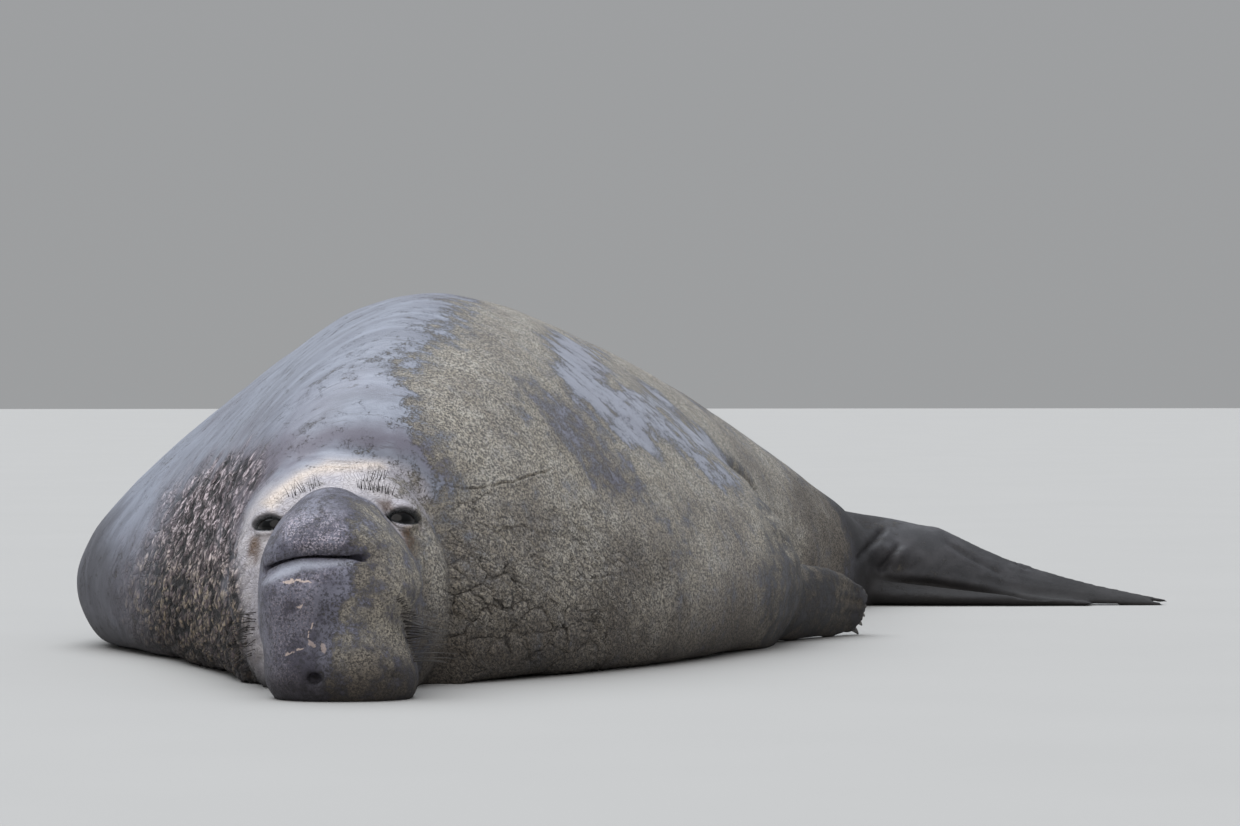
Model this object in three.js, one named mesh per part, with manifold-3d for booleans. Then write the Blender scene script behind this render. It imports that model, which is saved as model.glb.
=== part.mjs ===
// A bull elephant seal lying on its belly, life size, in millimetres.
// +Z is up and the animal rests on z = 0. The face looks along -Y, and +X is the animal's left.
// Its body curves round to its left, so that the hind flippers lie at +X, +Y.
// The origin is on the ground under the middle of the whole animal.
import * as THREE from "three";
import { mergeVertices } from "three/addons/utils/BufferGeometryUtils.js";
import Module from "manifold-3d";

const wasm = await Module();
wasm.setup();

// Driving dimensions
const GAP = 0.3; // between two pieces that touch
const NOSE = new THREE.Vector3(-752, -1680, 0); // under the front of the trunk, in the middle of the head
const HEAD_ROLL = 2.6; // degrees that the head leans towards the animal's right
const HEAD_PIVOT_UP = 150;
const EYE = { out: 108, back: 343, up: 297, radius: 37, lid: 43 };
const EYE_FACING = { out: 0.5, back: -0.84, up: 0.2 };
const EYE_OPENING = { wide: 72, upper: 18, lower: 15 };
const MOUTH = { up: 95, from: 150, to: 396, open: 9, deep: 15 };
const EAR = { out: 190, back: 414, up: 268, radius: 7, deep: 12 };
const NECK_BACK = 470; // where the skull ends inside the neck, from the nose
const SNOUT_CUT = { topBack: 270, topUp: 360, lowBack: 190 }; // slanting plane between trunk and head
const CREASE = { up: 254, deep: 30, high: 12, droopFrom: -40, droop: 0.003, to: 54, fade: 30 };
const NOSTRILS = { left: 94, right: -45, up: 41, wide: 15, high: 11, deep: 20 };
const CLAW = { long: 38, sunk: 14, radius: 9, bend: 13 };
const DIGITS = [-0.8, -0.4, 0, 0.4, 0.8]; // places across a flipper, from edge to edge

// The body, from the neck round the skull to the root of the hind flippers. x and y are the middle of
// a section, half its half width, top the height of the back, wide the height of its widest level,
// and round the exponent of its upper curve, where 2 is an ellipse.
const BODY_STATIONS = [
  { x: -750, y: -1262, half: 150, top: 372, wide: 130, round: 2.1 },
  { x: -746, y: -1222, half: 222, top: 450, wide: 140, round: 2.1 },
  { x: -730, y: -1165, half: 268, top: 508, wide: 140, round: 2.0 },
  { x: -690, y: -1040, half: 345, top: 588, wide: 140, round: 1.85 },
  { x: -634, y: -830, half: 458, top: 668, wide: 135, round: 1.65 },
  { x: -580, y: -560, half: 586, top: 718, wide: 130, round: 1.52 },
  { x: -548, y: -270, half: 690, top: 734, wide: 125, round: 1.5 },
  { x: -532, y: 0, half: 722, top: 735, wide: 120, round: 1.52 },
  { x: -474, y: 260, half: 660, top: 724, wide: 130, round: 1.62 },
  { x: -370, y: 510, half: 596, top: 682, wide: 140, round: 1.76 },
  { x: -226, y: 770, half: 514, top: 618, wide: 145, round: 1.92 },
  { x: -46, y: 1010, half: 420, top: 534, wide: 140, round: 2.05 },
  { x: 150, y: 1205, half: 320, top: 428, wide: 125, round: 2.1 },
  { x: 320, y: 1345, half: 232, top: 328, wide: 110, round: 2.1 },
  { x: 440, y: 1418, half: 166, top: 256, wide: 100, round: 2.1 },
  { x: 510, y: 1448, half: 108, top: 200, wide: 95, round: 2.1 },
];
const BODY_SINK = 250; // how far a section would reach below the ground
const BODY_RINGS = 50;
const BODY_STEPS = 42;
const PARTINGS = [
  { x: -580, y: -560, heading: 8 },
  { x: -474, y: 250, heading: 15 },
  { x: -160, y: 870, heading: 36 },
];

// The head without its trunk. back is measured from the nose.
const HEAD_STATIONS = [
  { back: 120, half: 80, top: 214, wide: 130 },
  { back: 175, half: 108, top: 296, wide: 135 },
  { back: 235, half: 122, top: 342, wide: 145 },
  { back: 288, half: 137, top: 358, wide: 150 },
  { back: 318, half: 162, top: 368, wide: 151 },
  { back: 348, half: 186, top: 382, wide: 152 },
  { back: 395, half: 195, top: 408, wide: 154 },
  { back: 440, half: 199, top: 428, wide: 156 },
  { back: 500, half: 204, top: 437, wide: 158 },
  { back: 580, half: 200, top: 430, wide: 160 },
];
const HEAD_SINK = 66;
const HEAD_ROUND = 2.15;
const HEAD_RINGS = 28;
const HEAD_STEPS = 40;

// The trunk in level slices, from below the ground to its top. front and back are measured from the nose.
const TRUNK_STATIONS = [
  { up: -60, front: 30, back: 180, half: 100, lean: 8 },
  { up: 0, front: -4, back: 202, half: 124, lean: 6 },
  { up: 20, front: -16, back: 210, half: 134, lean: 4 },
  { up: 45, front: -20, back: 218, half: 138, lean: 2 },
  { up: 75, front: -16, back: 228, half: 134, lean: -2 },
  { up: 105, front: -8, back: 240, half: 130, lean: -10 },
  { up: 130, front: -2, back: 250, half: 129, lean: -13 },
  { up: 160, front: 0, back: 262, half: 139, lean: -7 },
  { up: 195, front: 2, back: 274, half: 148, lean: 1 },
  { up: 225, front: 8, back: 282, half: 144, lean: -2 },
  { up: 250, front: 16, back: 288, half: 135, lean: -5 },
  { up: 275, front: 20, back: 292, half: 122, lean: -8 },
  { up: 306, front: 38, back: 294, half: 101, lean: -12 },
  { up: 330, front: 64, back: 294, half: 78, lean: -14 },
  { up: 350, front: 98, back: 290, half: 55, lean: -16 },
  { up: 363, front: 132, back: 270, half: 35, lean: -16 },
  { up: 371, front: 170, back: 225, half: 12, lean: -15 },
];
const TRUNK_SQUARE = 2.3; // exponent of a slice's outline
const TRUNK_RINGS = 42;
const TRUNK_STEPS = 30;

// Flippers. high is half the breadth and thick half the thickness of a section, and tilt turns
// the breadth from upright, in degrees. The last section ends in five digits.
const FORE_LEFT = [
  { x: 118, y: -150, z: 88, high: 84, thick: 58, tilt: 4 },
  { x: 190, y: -50, z: 82, high: 84, thick: 52, tilt: 6 },
  { x: 245, y: 26, z: 78, high: 84, thick: 46, tilt: 8 },
  { x: 295, y: 88, z: 72, high: 78, thick: 36, tilt: 9 },
  { x: 335, y: 134, z: 66, high: 70, thick: 26, tilt: 10 },
  { x: 362, y: 164, z: 60, high: 56, thick: 15, tilt: 10 },
];
const FORE_RIGHT = [
  { x: -1118, y: 40, z: 88, high: 84, thick: 58, tilt: -4 },
  { x: -1172, y: 140, z: 82, high: 84, thick: 52, tilt: -6 },
  { x: -1192, y: 232, z: 78, high: 84, thick: 46, tilt: -8 },
  { x: -1188, y: 312, z: 72, high: 78, thick: 36, tilt: -9 },
  { x: -1172, y: 372, z: 66, high: 70, thick: 26, tilt: -10 },
  { x: -1156, y: 412, z: 60, high: 56, thick: 15, tilt: -10 },
];
const HIND_RIGHT = [
  { x: 400, y: 1446, z: 152, high: 94, thick: 62, tilt: -28 },
  { x: 500, y: 1450, z: 146, high: 98, thick: 56, tilt: -34 },
  { x: 590, y: 1436, z: 138, high: 100, thick: 46, tilt: -38 },
  { x: 680, y: 1418, z: 122, high: 100, thick: 36, tilt: -42 },
  { x: 780, y: 1400, z: 92, high: 84, thick: 27, tilt: -46 },
  { x: 880, y: 1384, z: 64, high: 68, thick: 20, tilt: -50 },
  { x: 980, y: 1369, z: 44, high: 54, thick: 15, tilt: -56 },
  { x: 1080, y: 1356, z: 28, high: 40, thick: 12, tilt: -66 },
  { x: 1200, y: 1342, z: 13, high: 26, thick: 9, tilt: -78 },
];
const HIND_LEFT = [
  { x: 420, y: 1400, z: 70, high: 76, thick: 62, tilt: -70 },
  { x: 520, y: 1400, z: 50, high: 84, thick: 46, tilt: -78 },
  { x: 620, y: 1388, z: 32, high: 86, thick: 30, tilt: -84 },
  { x: 730, y: 1372, z: 22, high: 80, thick: 23, tilt: -88 },
  { x: 840, y: 1358, z: 16, high: 68, thick: 18, tilt: -90 },
  { x: 940, y: 1346, z: 12, high: 54, thick: 14, tilt: -90 },
  { x: 1010, y: 1339, z: 9, high: 42, thick: 10, tilt: -90 },
];
const TAIL_STATIONS = [
  { x: 470, y: 1404, z: 132, high: 26, thick: 40, tilt: 0 },
  { x: 545, y: 1380, z: 134, high: 28, thick: 34, tilt: 0 },
  { x: 600, y: 1366, z: 129, high: 23, thick: 26, tilt: 0 },
  { x: 634, y: 1358, z: 123, high: 13, thick: 14, tilt: 0 },
];
const FORE_SHAPE = { rings: 9, groove: 0.42, lobe: 24, spread: -12, from: 0.4 };
const HIND_SHAPE = { rings: 13, groove: 0.34, lobe: 20, spread: 90, from: 0.3 };
const TAIL_SHAPE = { rings: 5, groove: 0, lobe: 0, spread: 0, from: 0.5 };

// Soft forms raised on the surface, each with its place, its reach along x, y and z, and its push.
const BODY_FORMS = [
  { x: -1210, y: -120, z: 170, reach: [230, 260, 190], push: 62 }, // right shoulder
  { x: 150, y: -130, z: 180, reach: [230, 240, 200], push: 50 }, // left shoulder
  { x: -710, y: -150, z: 690, reach: [150, 420, 90], push: 24 }, // right of the spine
  { x: -390, y: 0, z: 690, reach: [110, 350, 90], push: 10 }, // left of the spine
];
const HEAD_FORMS = [-1, 1].flatMap((side) => [
  { x: side * 150, y: 440, z: 392, reach: [60, 80, 50], push: side > 0 ? 16 : 2 }, // temple
  { x: side * 104, y: 352, z: 350, reach: [46, 34, 30], push: 12 }, // brow
  { x: side * 140, y: 196, z: 165, reach: [70, 80, 76], push: 34 }, // whisker pad
  { x: side * 184, y: 370, z: 200, reach: [80, 80, 80], push: 10 }, // cheek
  { x: side * 160, y: 290, z: 116, reach: [60, 110, 13], push: 8 }, // upper lip
  { x: side * 160, y: 290, z: 76, reach: [60, 110, 13], push: 6 }, // lower lip
]);

const { lerp, clamp, smoothstep, degToRad } = THREE.MathUtils;
const span = (count) => Array.from({ length: count }, (_, i) => i);
const power = (value, exponent) => Math.sign(value) * Math.abs(value) ** exponent;
const bell = (distance, reach = 1) => Math.exp(-((distance / reach) ** 2));
const turnOf = (step, steps) => (step / steps) * 2 * Math.PI;

/** The values of a smooth curve through stations, at a share of the way from the first to the last. */
function along(stations, share) {
  const at = share * (stations.length - 1);
  const i = Math.min(Math.floor(at), stations.length - 2);
  const t = at - i;
  const pick = (n, key) => stations[clamp(n, 0, stations.length - 1)][key];
  const value = {};
  for (const key of Object.keys(stations[0])) {
    const a = pick(i, key);
    const b = pick(i + 1, key);
    const slopeA = (b - pick(i - 1, key)) / 2;
    const slopeB = (pick(i + 2, key) - a) / 2;
    const bend = 3 * (b - a) - 2 * slopeA - slopeB;
    const twist = 2 * (a - b) + slopeA + slopeB;
    value[key] = a + t * (slopeA + t * (bend + t * twist));
  }
  return value;
}

/** A point of the head, given out to the animal's left, back from the nose and up, with the roll. */
function headPoint(out, back, up) {
  const roll = degToRad(HEAD_ROLL);
  const above = up - HEAD_PIVOT_UP;
  return new THREE.Vector3(
    NOSE.x + out * Math.cos(roll) - above * Math.sin(roll),
    NOSE.y + back,
    HEAD_PIVOT_UP + out * Math.sin(roll) + above * Math.cos(roll),
  );
}

/** A closed geometry through rings of points, each ring with the same number of points. */
function loft(rings) {
  const steps = rings[0].length;
  const points = rings.flat();
  const centre = (ring) => ring.reduce((sum, p) => sum.add(p), new THREE.Vector3()).divideScalar(steps);
  const first = points.push(centre(rings[0])) - 1;
  const last = points.push(centre(rings[rings.length - 1])) - 1;
  const end = (rings.length - 1) * steps;
  const index = [];
  for (const s of span(steps)) {
    const next = (s + 1) % steps;
    for (let a = s, b = next; a < end; a += steps, b += steps) {
      index.push(a, b, a + steps, b, b + steps, a + steps);
    }
    index.push(first, next, s, last, end + s, end + next);
  }
  const geometry = new THREE.BufferGeometry().setFromPoints(points);
  geometry.setIndex(index);
  return geometry;
}

/** The solid of a closed geometry, whichever way its faces point. */
function solidOf(geometry) {
  const bare = geometry.index ? geometry.toNonIndexed() : geometry.clone();
  const places = new THREE.BufferGeometry().setAttribute("position", bare.getAttribute("position"));
  const merged = mergeVertices(places, 1e-3);
  const triVerts = new Uint32Array(merged.index.array);
  const vertProperties = merged.attributes.position.array;
  const make = () => new wasm.Manifold(new wasm.Mesh({ numProp: 3, vertProperties, triVerts }));
  const made = make();
  if (made.volume() > 0) return made;
  for (let i = 0; i < triVerts.length; i += 3) {
    [triVerts[i + 1], triVerts[i + 2]] = [triVerts[i + 2], triVerts[i + 1]];
  }
  return make();
}

/** How far the soft forms push out a point. */
function pushAt(point, forms) {
  return forms.reduce((sum, { x, y, z, reach, push }) => {
    const distance = Math.hypot((point.x - x) / reach[0], (point.y - y) / reach[1], (point.z - z) / reach[2]);
    return sum + push * bell(distance);
  }, 0);
}

/** Where a ring's points lie: across its width, and above or below its widest level. */
function sectionAt(here, exponents, sink, step, steps, grow) {
  const rise = Math.sin(turnOf(step, steps));
  const exponent = rise > 0 ? exponents.upper : exponents.lower;
  const reach = rise > 0 ? here.top - here.wide : here.wide + sink;
  return {
    across: power(Math.cos(turnOf(step, steps)), exponent) * (here.half + grow),
    up: here.wide + power(rise, exponent) * (reach + grow),
  };
}

/** The body as one closed solid, larger all round where grow is above 0. */
function bodySolid(grow = 0) {
  const rings = span(BODY_RINGS + 1).map((r) => {
    const share = r / BODY_RINGS;
    const here = along(BODY_STATIONS, share);
    const ahead = along(BODY_STATIONS, Math.min(1, share + 0.01));
    const behind = along(BODY_STATIONS, Math.max(0, share - 0.01));
    const forward = new THREE.Vector3(ahead.x - behind.x, ahead.y - behind.y, 0).normalize();
    const middle = new THREE.Vector3(here.x, here.y, here.wide);
    const past = r === 0 ? -grow : r === BODY_RINGS ? grow : 0;
    return span(BODY_STEPS).map((s) => {
      const exponents = { upper: 2 / here.round, lower: 1 };
      const { across, up } = sectionAt(here, exponents, BODY_SINK, s, BODY_STEPS, grow);
      const point = new THREE.Vector3(here.x + across * forward.y, here.y - across * forward.x, up);
      const away = point.clone().sub(middle).normalize();
      return point.addScaledVector(away, pushAt(point, BODY_FORMS)).addScaledVector(forward, past);
    });
  });
  return solidOf(loft(rings));
}

/** The head without its trunk as one closed solid, larger all round where grow is above 0. */
function headSolid(grow = 0) {
  const rings = span(HEAD_RINGS + 1).map((r) => {
    const here = along(HEAD_STATIONS, r / HEAD_RINGS);
    const exponents = { upper: 2 / HEAD_ROUND, lower: 2 / HEAD_ROUND };
    return span(HEAD_STEPS).map((s) => {
      const { across, up } = sectionAt(here, exponents, HEAD_SINK, s, HEAD_STEPS, grow);
      const away = new THREE.Vector2(across, up - here.wide).normalize();
      const push = pushAt({ x: across, y: here.back, z: up }, HEAD_FORMS);
      return headPoint(across + away.x * push, here.back, up + away.y * push);
    });
  });
  return solidOf(loft(rings));
}

/** The trunk as a standing column of level slices, with the deep fold across its front. */
function trunkSolid() {
  const rings = span(TRUNK_RINGS + 1).map((r) => {
    const here = along(TRUNK_STATIONS, r / TRUNK_RINGS);
    const deep = (here.back - here.front) / 2;
    return span(TRUNK_STEPS).map((s) => {
      const turn = turnOf(s, TRUNK_STEPS);
      const across = power(Math.cos(turn), 2 / TRUNK_SQUARE) * here.half;
      const ahead = power(Math.sin(turn), 2 / TRUNK_SQUARE) * deep;
      const level = CREASE.up - CREASE.droop * Math.max(0, CREASE.droopFrom - across) ** 2;
      const reaching = smoothstep(CREASE.to - across, 0, CREASE.fade) * smoothstep(Math.sin(turn), -0.1, 0.5);
      const fold = CREASE.deep * bell(here.up - level, CREASE.high) * reaching;
      return new THREE.Vector3(
        NOSE.x + here.lean + across * (1 - (0.6 * fold) / here.half),
        NOSE.y + here.front + deep - ahead + fold,
        here.up,
      );
    });
  });
  return solidOf(loft(rings));
}

/** The middle, the way ahead, the breadth and the thickness of a flipper at a share of its length. */
function flipperFrame(stations, share) {
  const here = along(stations, share);
  const ahead = along(stations, Math.min(1, share + 0.01));
  const behind = along(stations, Math.max(0, share - 0.01));
  const forward = new THREE.Vector3(ahead.x - behind.x, ahead.y - behind.y, ahead.z - behind.z).normalize();
  const side = new THREE.Vector3().crossVectors(forward, new THREE.Vector3(0, 0, 1)).normalize();
  const upright = new THREE.Vector3().crossVectors(side, forward);
  const tilt = degToRad(here.tilt);
  const breadth = upright.clone().multiplyScalar(Math.cos(tilt)).addScaledVector(side, Math.sin(tilt));
  const thickness = new THREE.Vector3().crossVectors(breadth, forward);
  return { ...here, middle: new THREE.Vector3(here.x, here.y, here.z), forward, breadth, thickness };
}

/** 1 along a digit and 0 in the web between two, at a place across the flipper. */
const digitAt = (place) => 0.5 + 0.5 * Math.cos((2 * Math.PI * place) / 0.4);

/** How far past its last section a flipper reaches, at a place across it. */
const tipReach = (shape, place) => shape.lobe * digitAt(place) + shape.spread * place ** 2;

/** A flipper as one closed solid with five digits that stand out from the web between them. */
function flipperSolid(stations, shape) {
  const across = span(19).map((i) => 1 - (i + 1) / 10);
  const places = [1, ...across, -1, ...across.slice().reverse()];
  const rings = span(shape.rings + 1).map((r) => {
    const share = r / shape.rings;
    const frame = flipperFrame(stations, share);
    const digits = smoothstep(share, shape.from, 1);
    const stretch = smoothstep(share, 0.55, 1);
    return places.map((place, i) => {
      const face = i <= places.length / 2 ? 1 : -1;
      const web = 1 - shape.groove * digits * (1 - digitAt(place));
      const out = face * frame.thick * (1 - place ** 2) ** 0.6 * web;
      return frame.middle
        .clone()
        .addScaledVector(frame.breadth, place * frame.high)
        .addScaledVector(frame.thickness, out)
        .addScaledVector(frame.forward, stretch * tipReach(shape, place));
    });
  });
  return solidOf(loft(rings));
}

/** A curved claw at a digit's tip, thicker all round where grow is above 0. */
function clawSolid(stations, shape, place, grow = 0) {
  const frame = flipperFrame(stations, 1);
  const root = frame.middle
    .clone()
    .addScaledVector(frame.breadth, place * frame.high * 0.9)
    .addScaledVector(frame.forward, tipReach(shape, place) - CLAW.sunk - grow);
  const rings = span(6).map((r) => {
    const share = r / 5;
    const radius = CLAW.radius * (1 - 0.74 * share ** 2.4) + grow;
    const middle = root
      .clone()
      .addScaledVector(frame.forward, share * (CLAW.long + 2 * grow))
      .add(new THREE.Vector3(0, 0, -CLAW.bend * share ** 2));
    return span(8).map((s) =>
      middle
        .clone()
        .addScaledVector(frame.breadth, radius * Math.cos(turnOf(s, 8)))
        .addScaledVector(frame.thickness, radius * 0.8 * Math.sin(turnOf(s, 8))),
    );
  });
  return solidOf(loft(rings));
}

/** A ball, stretched along x, y and z, at a point. */
function ballSolid(centre, radius, stretch = [1, 1, 1], rings = 9) {
  const geometry = new THREE.SphereGeometry(radius, rings * 2, rings).scale(...stretch);
  return solidOf(geometry.translate(centre.x, centre.y, centre.z));
}

/** A box between two corners. */
function boxSolid(low, high) {
  const size = high.clone().sub(low);
  const middle = low.clone().add(high).divideScalar(2);
  return solidOf(new THREE.BoxGeometry(size.x, size.y, size.z).translate(middle.x, middle.y, middle.z));
}

/** The middle of an eyeball and the way that it faces, on the animal's left where side is 1. */
function eyePlace(side) {
  const middle = headPoint(side * EYE.out, EYE.back, EYE.up);
  const ahead = headPoint(
    side * (EYE.out + EYE_FACING.out),
    EYE.back + EYE_FACING.back,
    EYE.up + EYE_FACING.up,
  );
  return { middle, facing: ahead.sub(middle).normalize() };
}

/** The opening between the lids: an almond drawn out along the way that the eye faces. */
function lidOpening(side) {
  const { middle, facing } = eyePlace(side);
  const half = EYE_OPENING.wide / 2;
  const almond = new THREE.Shape();
  almond.moveTo(-half, 0);
  almond.quadraticCurveTo(0, 2 * EYE_OPENING.upper, half, 0);
  almond.quadraticCurveTo(0, -2 * EYE_OPENING.lower, -half, 0);
  const geometry = new THREE.ExtrudeGeometry(almond, { depth: EYE.lid * 1.5, bevelEnabled: false, curveSegments: 8 });
  const level = new THREE.Vector3().crossVectors(new THREE.Vector3(0, 0, 1), facing).normalize();
  const upright = new THREE.Vector3().crossVectors(facing, level);
  geometry.applyMatrix4(new THREE.Matrix4().makeBasis(level, upright, facing));
  return solidOf(geometry.translate(middle.x, middle.y, middle.z));
}

const group = new THREE.Group();
const finish = (color, roughness) => new THREE.MeshStandardMaterial({ color, roughness, metalness: 0 });
const sandyHide = finish(0x736c60, 0.75);
const faceHide = finish(0x9b9288, 0.6);
const wetHide = finish(0x4c4d55, 0.45);
const clawHorn = finish(0x2a2622, 0.4);
const eyeGlass = finish(0x12100f, 0.08);

/** Adds a solid's largest closed surface to the group as a mesh with a name. */
function addNode(name, solid, material) {
  const pieces = solid.decompose().sort((a, b) => b.volume() - a.volume());
  const { vertProperties, triVerts } = pieces[0].getMesh();
  const geometry = new THREE.BufferGeometry();
  geometry.setAttribute("position", new THREE.BufferAttribute(new Float32Array(vertProperties), 3));
  geometry.setIndex(new THREE.BufferAttribute(new Uint32Array(triVerts), 1));
  geometry.computeVertexNormals();
  const mesh = new THREE.Mesh(geometry, material);
  mesh.name = name;
  group.add(mesh);
}

/** What lies ahead of a plane through a point, where ahead is the plane's normal. */
const aheadOf = (solid, normal, point, clear = GAP / 2) =>
  solid.trimByPlane(normal.toArray(), normal.dot(point) + clear);
const onGround = (solid) => solid.trimByPlane([0, 0, 1], 0);
const back = new THREE.Vector3(0, 1, 0);

/** The body parted across into neck, chest, torso and hips. */
function addBody() {
  const skullEnd = NOSE.clone().addScaledVector(back, NECK_BACK);
  const cup = aheadOf(headSolid(GAP), back.clone().negate(), skullEnd, 0);
  let rest = onGround(bodySolid()).subtract(cup);
  const names = ["neck", "chest", "torso", "hips"];
  for (const [i, { x, y, heading }] of PARTINGS.entries()) {
    const turn = degToRad(heading);
    const normal = new THREE.Vector3(Math.sin(turn), Math.cos(turn), 0);
    const point = new THREE.Vector3(x, y, 0);
    addNode(names[i], aheadOf(rest, normal.clone().negate(), point), sandyHide);
    rest = aheadOf(rest, normal, point);
  }
  addNode(names[3], rest, sandyHide);
}

/** The head with its lids, mouth and ears, the lower jaw, the trunk and both eyes. */
function addHead() {
  const skullEnd = NOSE.clone().addScaledVector(back, NECK_BACK);
  let face = onGround(headSolid().add(trunkSolid()));
  face = aheadOf(face, back.clone().negate(), skullEnd, GAP);
  for (const side of [-1, 1]) {
    face = face.add(ballSolid(eyePlace(side).middle, EYE.lid));
  }
  const slot = boxSolid(
    new THREE.Vector3(NOSE.x - 300, NOSE.y + MOUTH.from, MOUTH.up - MOUTH.open / 2),
    new THREE.Vector3(NOSE.x + 300, NOSE.y + MOUTH.to, MOUTH.up + MOUTH.open / 2),
  );
  face = face.subtract(slot.subtract(headSolid(-MOUTH.deep)));
  for (const side of [-1, 1]) {
    const { middle } = eyePlace(side);
    const ear = headPoint(side * EAR.out, EAR.back, EAR.up);
    const nostril = new THREE.Vector3(side > 0 ? NOSTRILS.left : NOSTRILS.right, 0, NOSTRILS.up);
    face = face
      .subtract(ballSolid(middle, EYE.radius + GAP))
      .subtract(lidOpening(side))
      .subtract(ballSolid(ear, EAR.radius, [EAR.deep / EAR.radius, 1, 1], 5));
    const pit = nostril.add(NOSE).add(new THREE.Vector3(0, -4 - NOSTRILS.deep / 4, 0));
    face = face.subtract(nostrilSolid(pit));
    addNode(side > 0 ? "eye_left" : "eye_right", ballSolid(middle, EYE.radius), eyeGlass);
  }
  const top = new THREE.Vector3(0, SNOUT_CUT.topBack, SNOUT_CUT.topUp).add(NOSE);
  const normal = new THREE.Vector3(0, SNOUT_CUT.topUp, SNOUT_CUT.lowBack - SNOUT_CUT.topBack).normalize();
  addNode("proboscis", aheadOf(face, normal.clone().negate(), top), wetHide);
  const skull = aheadOf(face, normal, top);
  const jawBox = (clear) =>
    boxSolid(
      new THREE.Vector3(NOSE.x - 300, NOSE.y + MOUTH.from, -HEAD_SINK),
      new THREE.Vector3(NOSE.x + 300, NOSE.y + MOUTH.to + clear, MOUTH.up + clear),
    );
  addNode("head", skull.subtract(jawBox(GAP / 2)), faceHide);
  addNode("lower_jaw", skull.intersect(jawBox(-GAP / 2)), faceHide);
}

/** A nostril's pit, wider than it is high. */
function nostrilSolid(centre) {
  const stretch = [NOSTRILS.wide, NOSTRILS.deep, NOSTRILS.high].map((size) => size / NOSTRILS.deep);
  return ballSolid(centre, NOSTRILS.deep, stretch, 6);
}

/** The flippers with their claws, and the tail, each cut clear of the body. */
function addLimbs() {
  const body = bodySolid(GAP);
  for (const [side, stations] of [["left", FORE_LEFT], ["right", FORE_RIGHT]]) {
    let flipper = onGround(flipperSolid(stations, FORE_SHAPE)).subtract(body);
    for (const [i, place] of DIGITS.entries()) {
      flipper = flipper.subtract(clawSolid(stations, FORE_SHAPE, place, GAP));
      addNode(`claw_${side}_${i + 1}`, onGround(clawSolid(stations, FORE_SHAPE, place)), clawHorn);
    }
    addNode(`fore_flipper_${side}`, flipper, wetHide);
  }
  const lower = flipperSolid(HIND_LEFT, HIND_SHAPE);
  const upper = flipperSolid(HIND_RIGHT, HIND_SHAPE);
  addNode("hind_flipper_left", onGround(lower).subtract(body), wetHide);
  addNode("hind_flipper_right", onGround(upper).subtract(body).subtract(lower), wetHide);
  addNode("tail", flipperSolid(TAIL_STATIONS, TAIL_SHAPE).subtract(body).subtract(upper), sandyHide);
}

addBody();
addHead();
addLimbs();

const middle = new THREE.Box3().setFromObject(group).getCenter(new THREE.Vector3());
group.position.set(-middle.x, -middle.y, 0);

export default group;
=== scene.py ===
"""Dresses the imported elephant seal: one skin over the flesh, eyes, claws, whiskers and a plain studio."""

from __future__ import annotations

import logging
import math
from dataclasses import dataclass, field
from enum import Enum

import bpy
import numpy as np
from mathutils import Euler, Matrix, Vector
from mathutils.bvhtree import BVHTree

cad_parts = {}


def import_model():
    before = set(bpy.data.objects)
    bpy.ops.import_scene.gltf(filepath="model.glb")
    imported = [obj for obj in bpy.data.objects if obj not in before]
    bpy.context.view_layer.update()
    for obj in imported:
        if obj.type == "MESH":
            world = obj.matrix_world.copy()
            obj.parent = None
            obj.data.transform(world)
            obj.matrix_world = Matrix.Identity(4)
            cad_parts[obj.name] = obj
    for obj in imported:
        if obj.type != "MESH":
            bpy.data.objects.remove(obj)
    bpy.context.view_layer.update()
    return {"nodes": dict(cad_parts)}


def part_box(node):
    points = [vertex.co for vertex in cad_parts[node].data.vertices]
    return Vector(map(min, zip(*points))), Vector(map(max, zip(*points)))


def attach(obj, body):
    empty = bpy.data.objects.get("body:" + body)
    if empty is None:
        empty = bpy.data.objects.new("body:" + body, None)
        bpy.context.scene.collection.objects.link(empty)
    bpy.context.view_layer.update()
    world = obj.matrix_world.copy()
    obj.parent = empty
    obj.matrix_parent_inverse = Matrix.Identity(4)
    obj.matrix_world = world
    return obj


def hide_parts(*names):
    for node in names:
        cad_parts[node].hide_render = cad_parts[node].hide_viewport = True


LOG = logging.getLogger("seal")
MM = 0.001
Pixel = tuple[float, float]
Colour = tuple[float, float, float]


class Side(Enum):
    """The animal's own left and right. Its left lies along +X."""

    LEFT = 1
    RIGHT = -1

    @property
    def word(self) -> str:
        """The side's name in lower case, as it stands in the nodes' names."""
        return self.name.lower()


def smooth_step(low: float, high: float, value: np.ndarray) -> np.ndarray:
    """A soft step from 0 at low to 1 at high.

    Args:
        low: Where the step starts. It may lie above high, for a step down.
        high: Where the step ends.
        value: The places.

    Returns:
        The height of the step at each place.
    """
    share = np.clip((value - low) / (high - low), 0, 1)
    return share * share * (3 - 2 * share)


def bell(distance: np.ndarray, reach: float) -> np.ndarray:
    """A soft bump of height 1 that fades out over reach."""
    return np.exp(-((distance / reach) ** 2))


def deselect_all() -> None:
    """Leaves no object selected and none active."""
    for each in bpy.context.selected_objects:
        each.select_set(False)
    bpy.context.view_layer.objects.active = None


def take(target: bpy.types.Object) -> None:
    """Makes one object the only selected one, and active."""
    deselect_all()
    target.select_set(True)
    bpy.context.view_layer.objects.active = target


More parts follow.
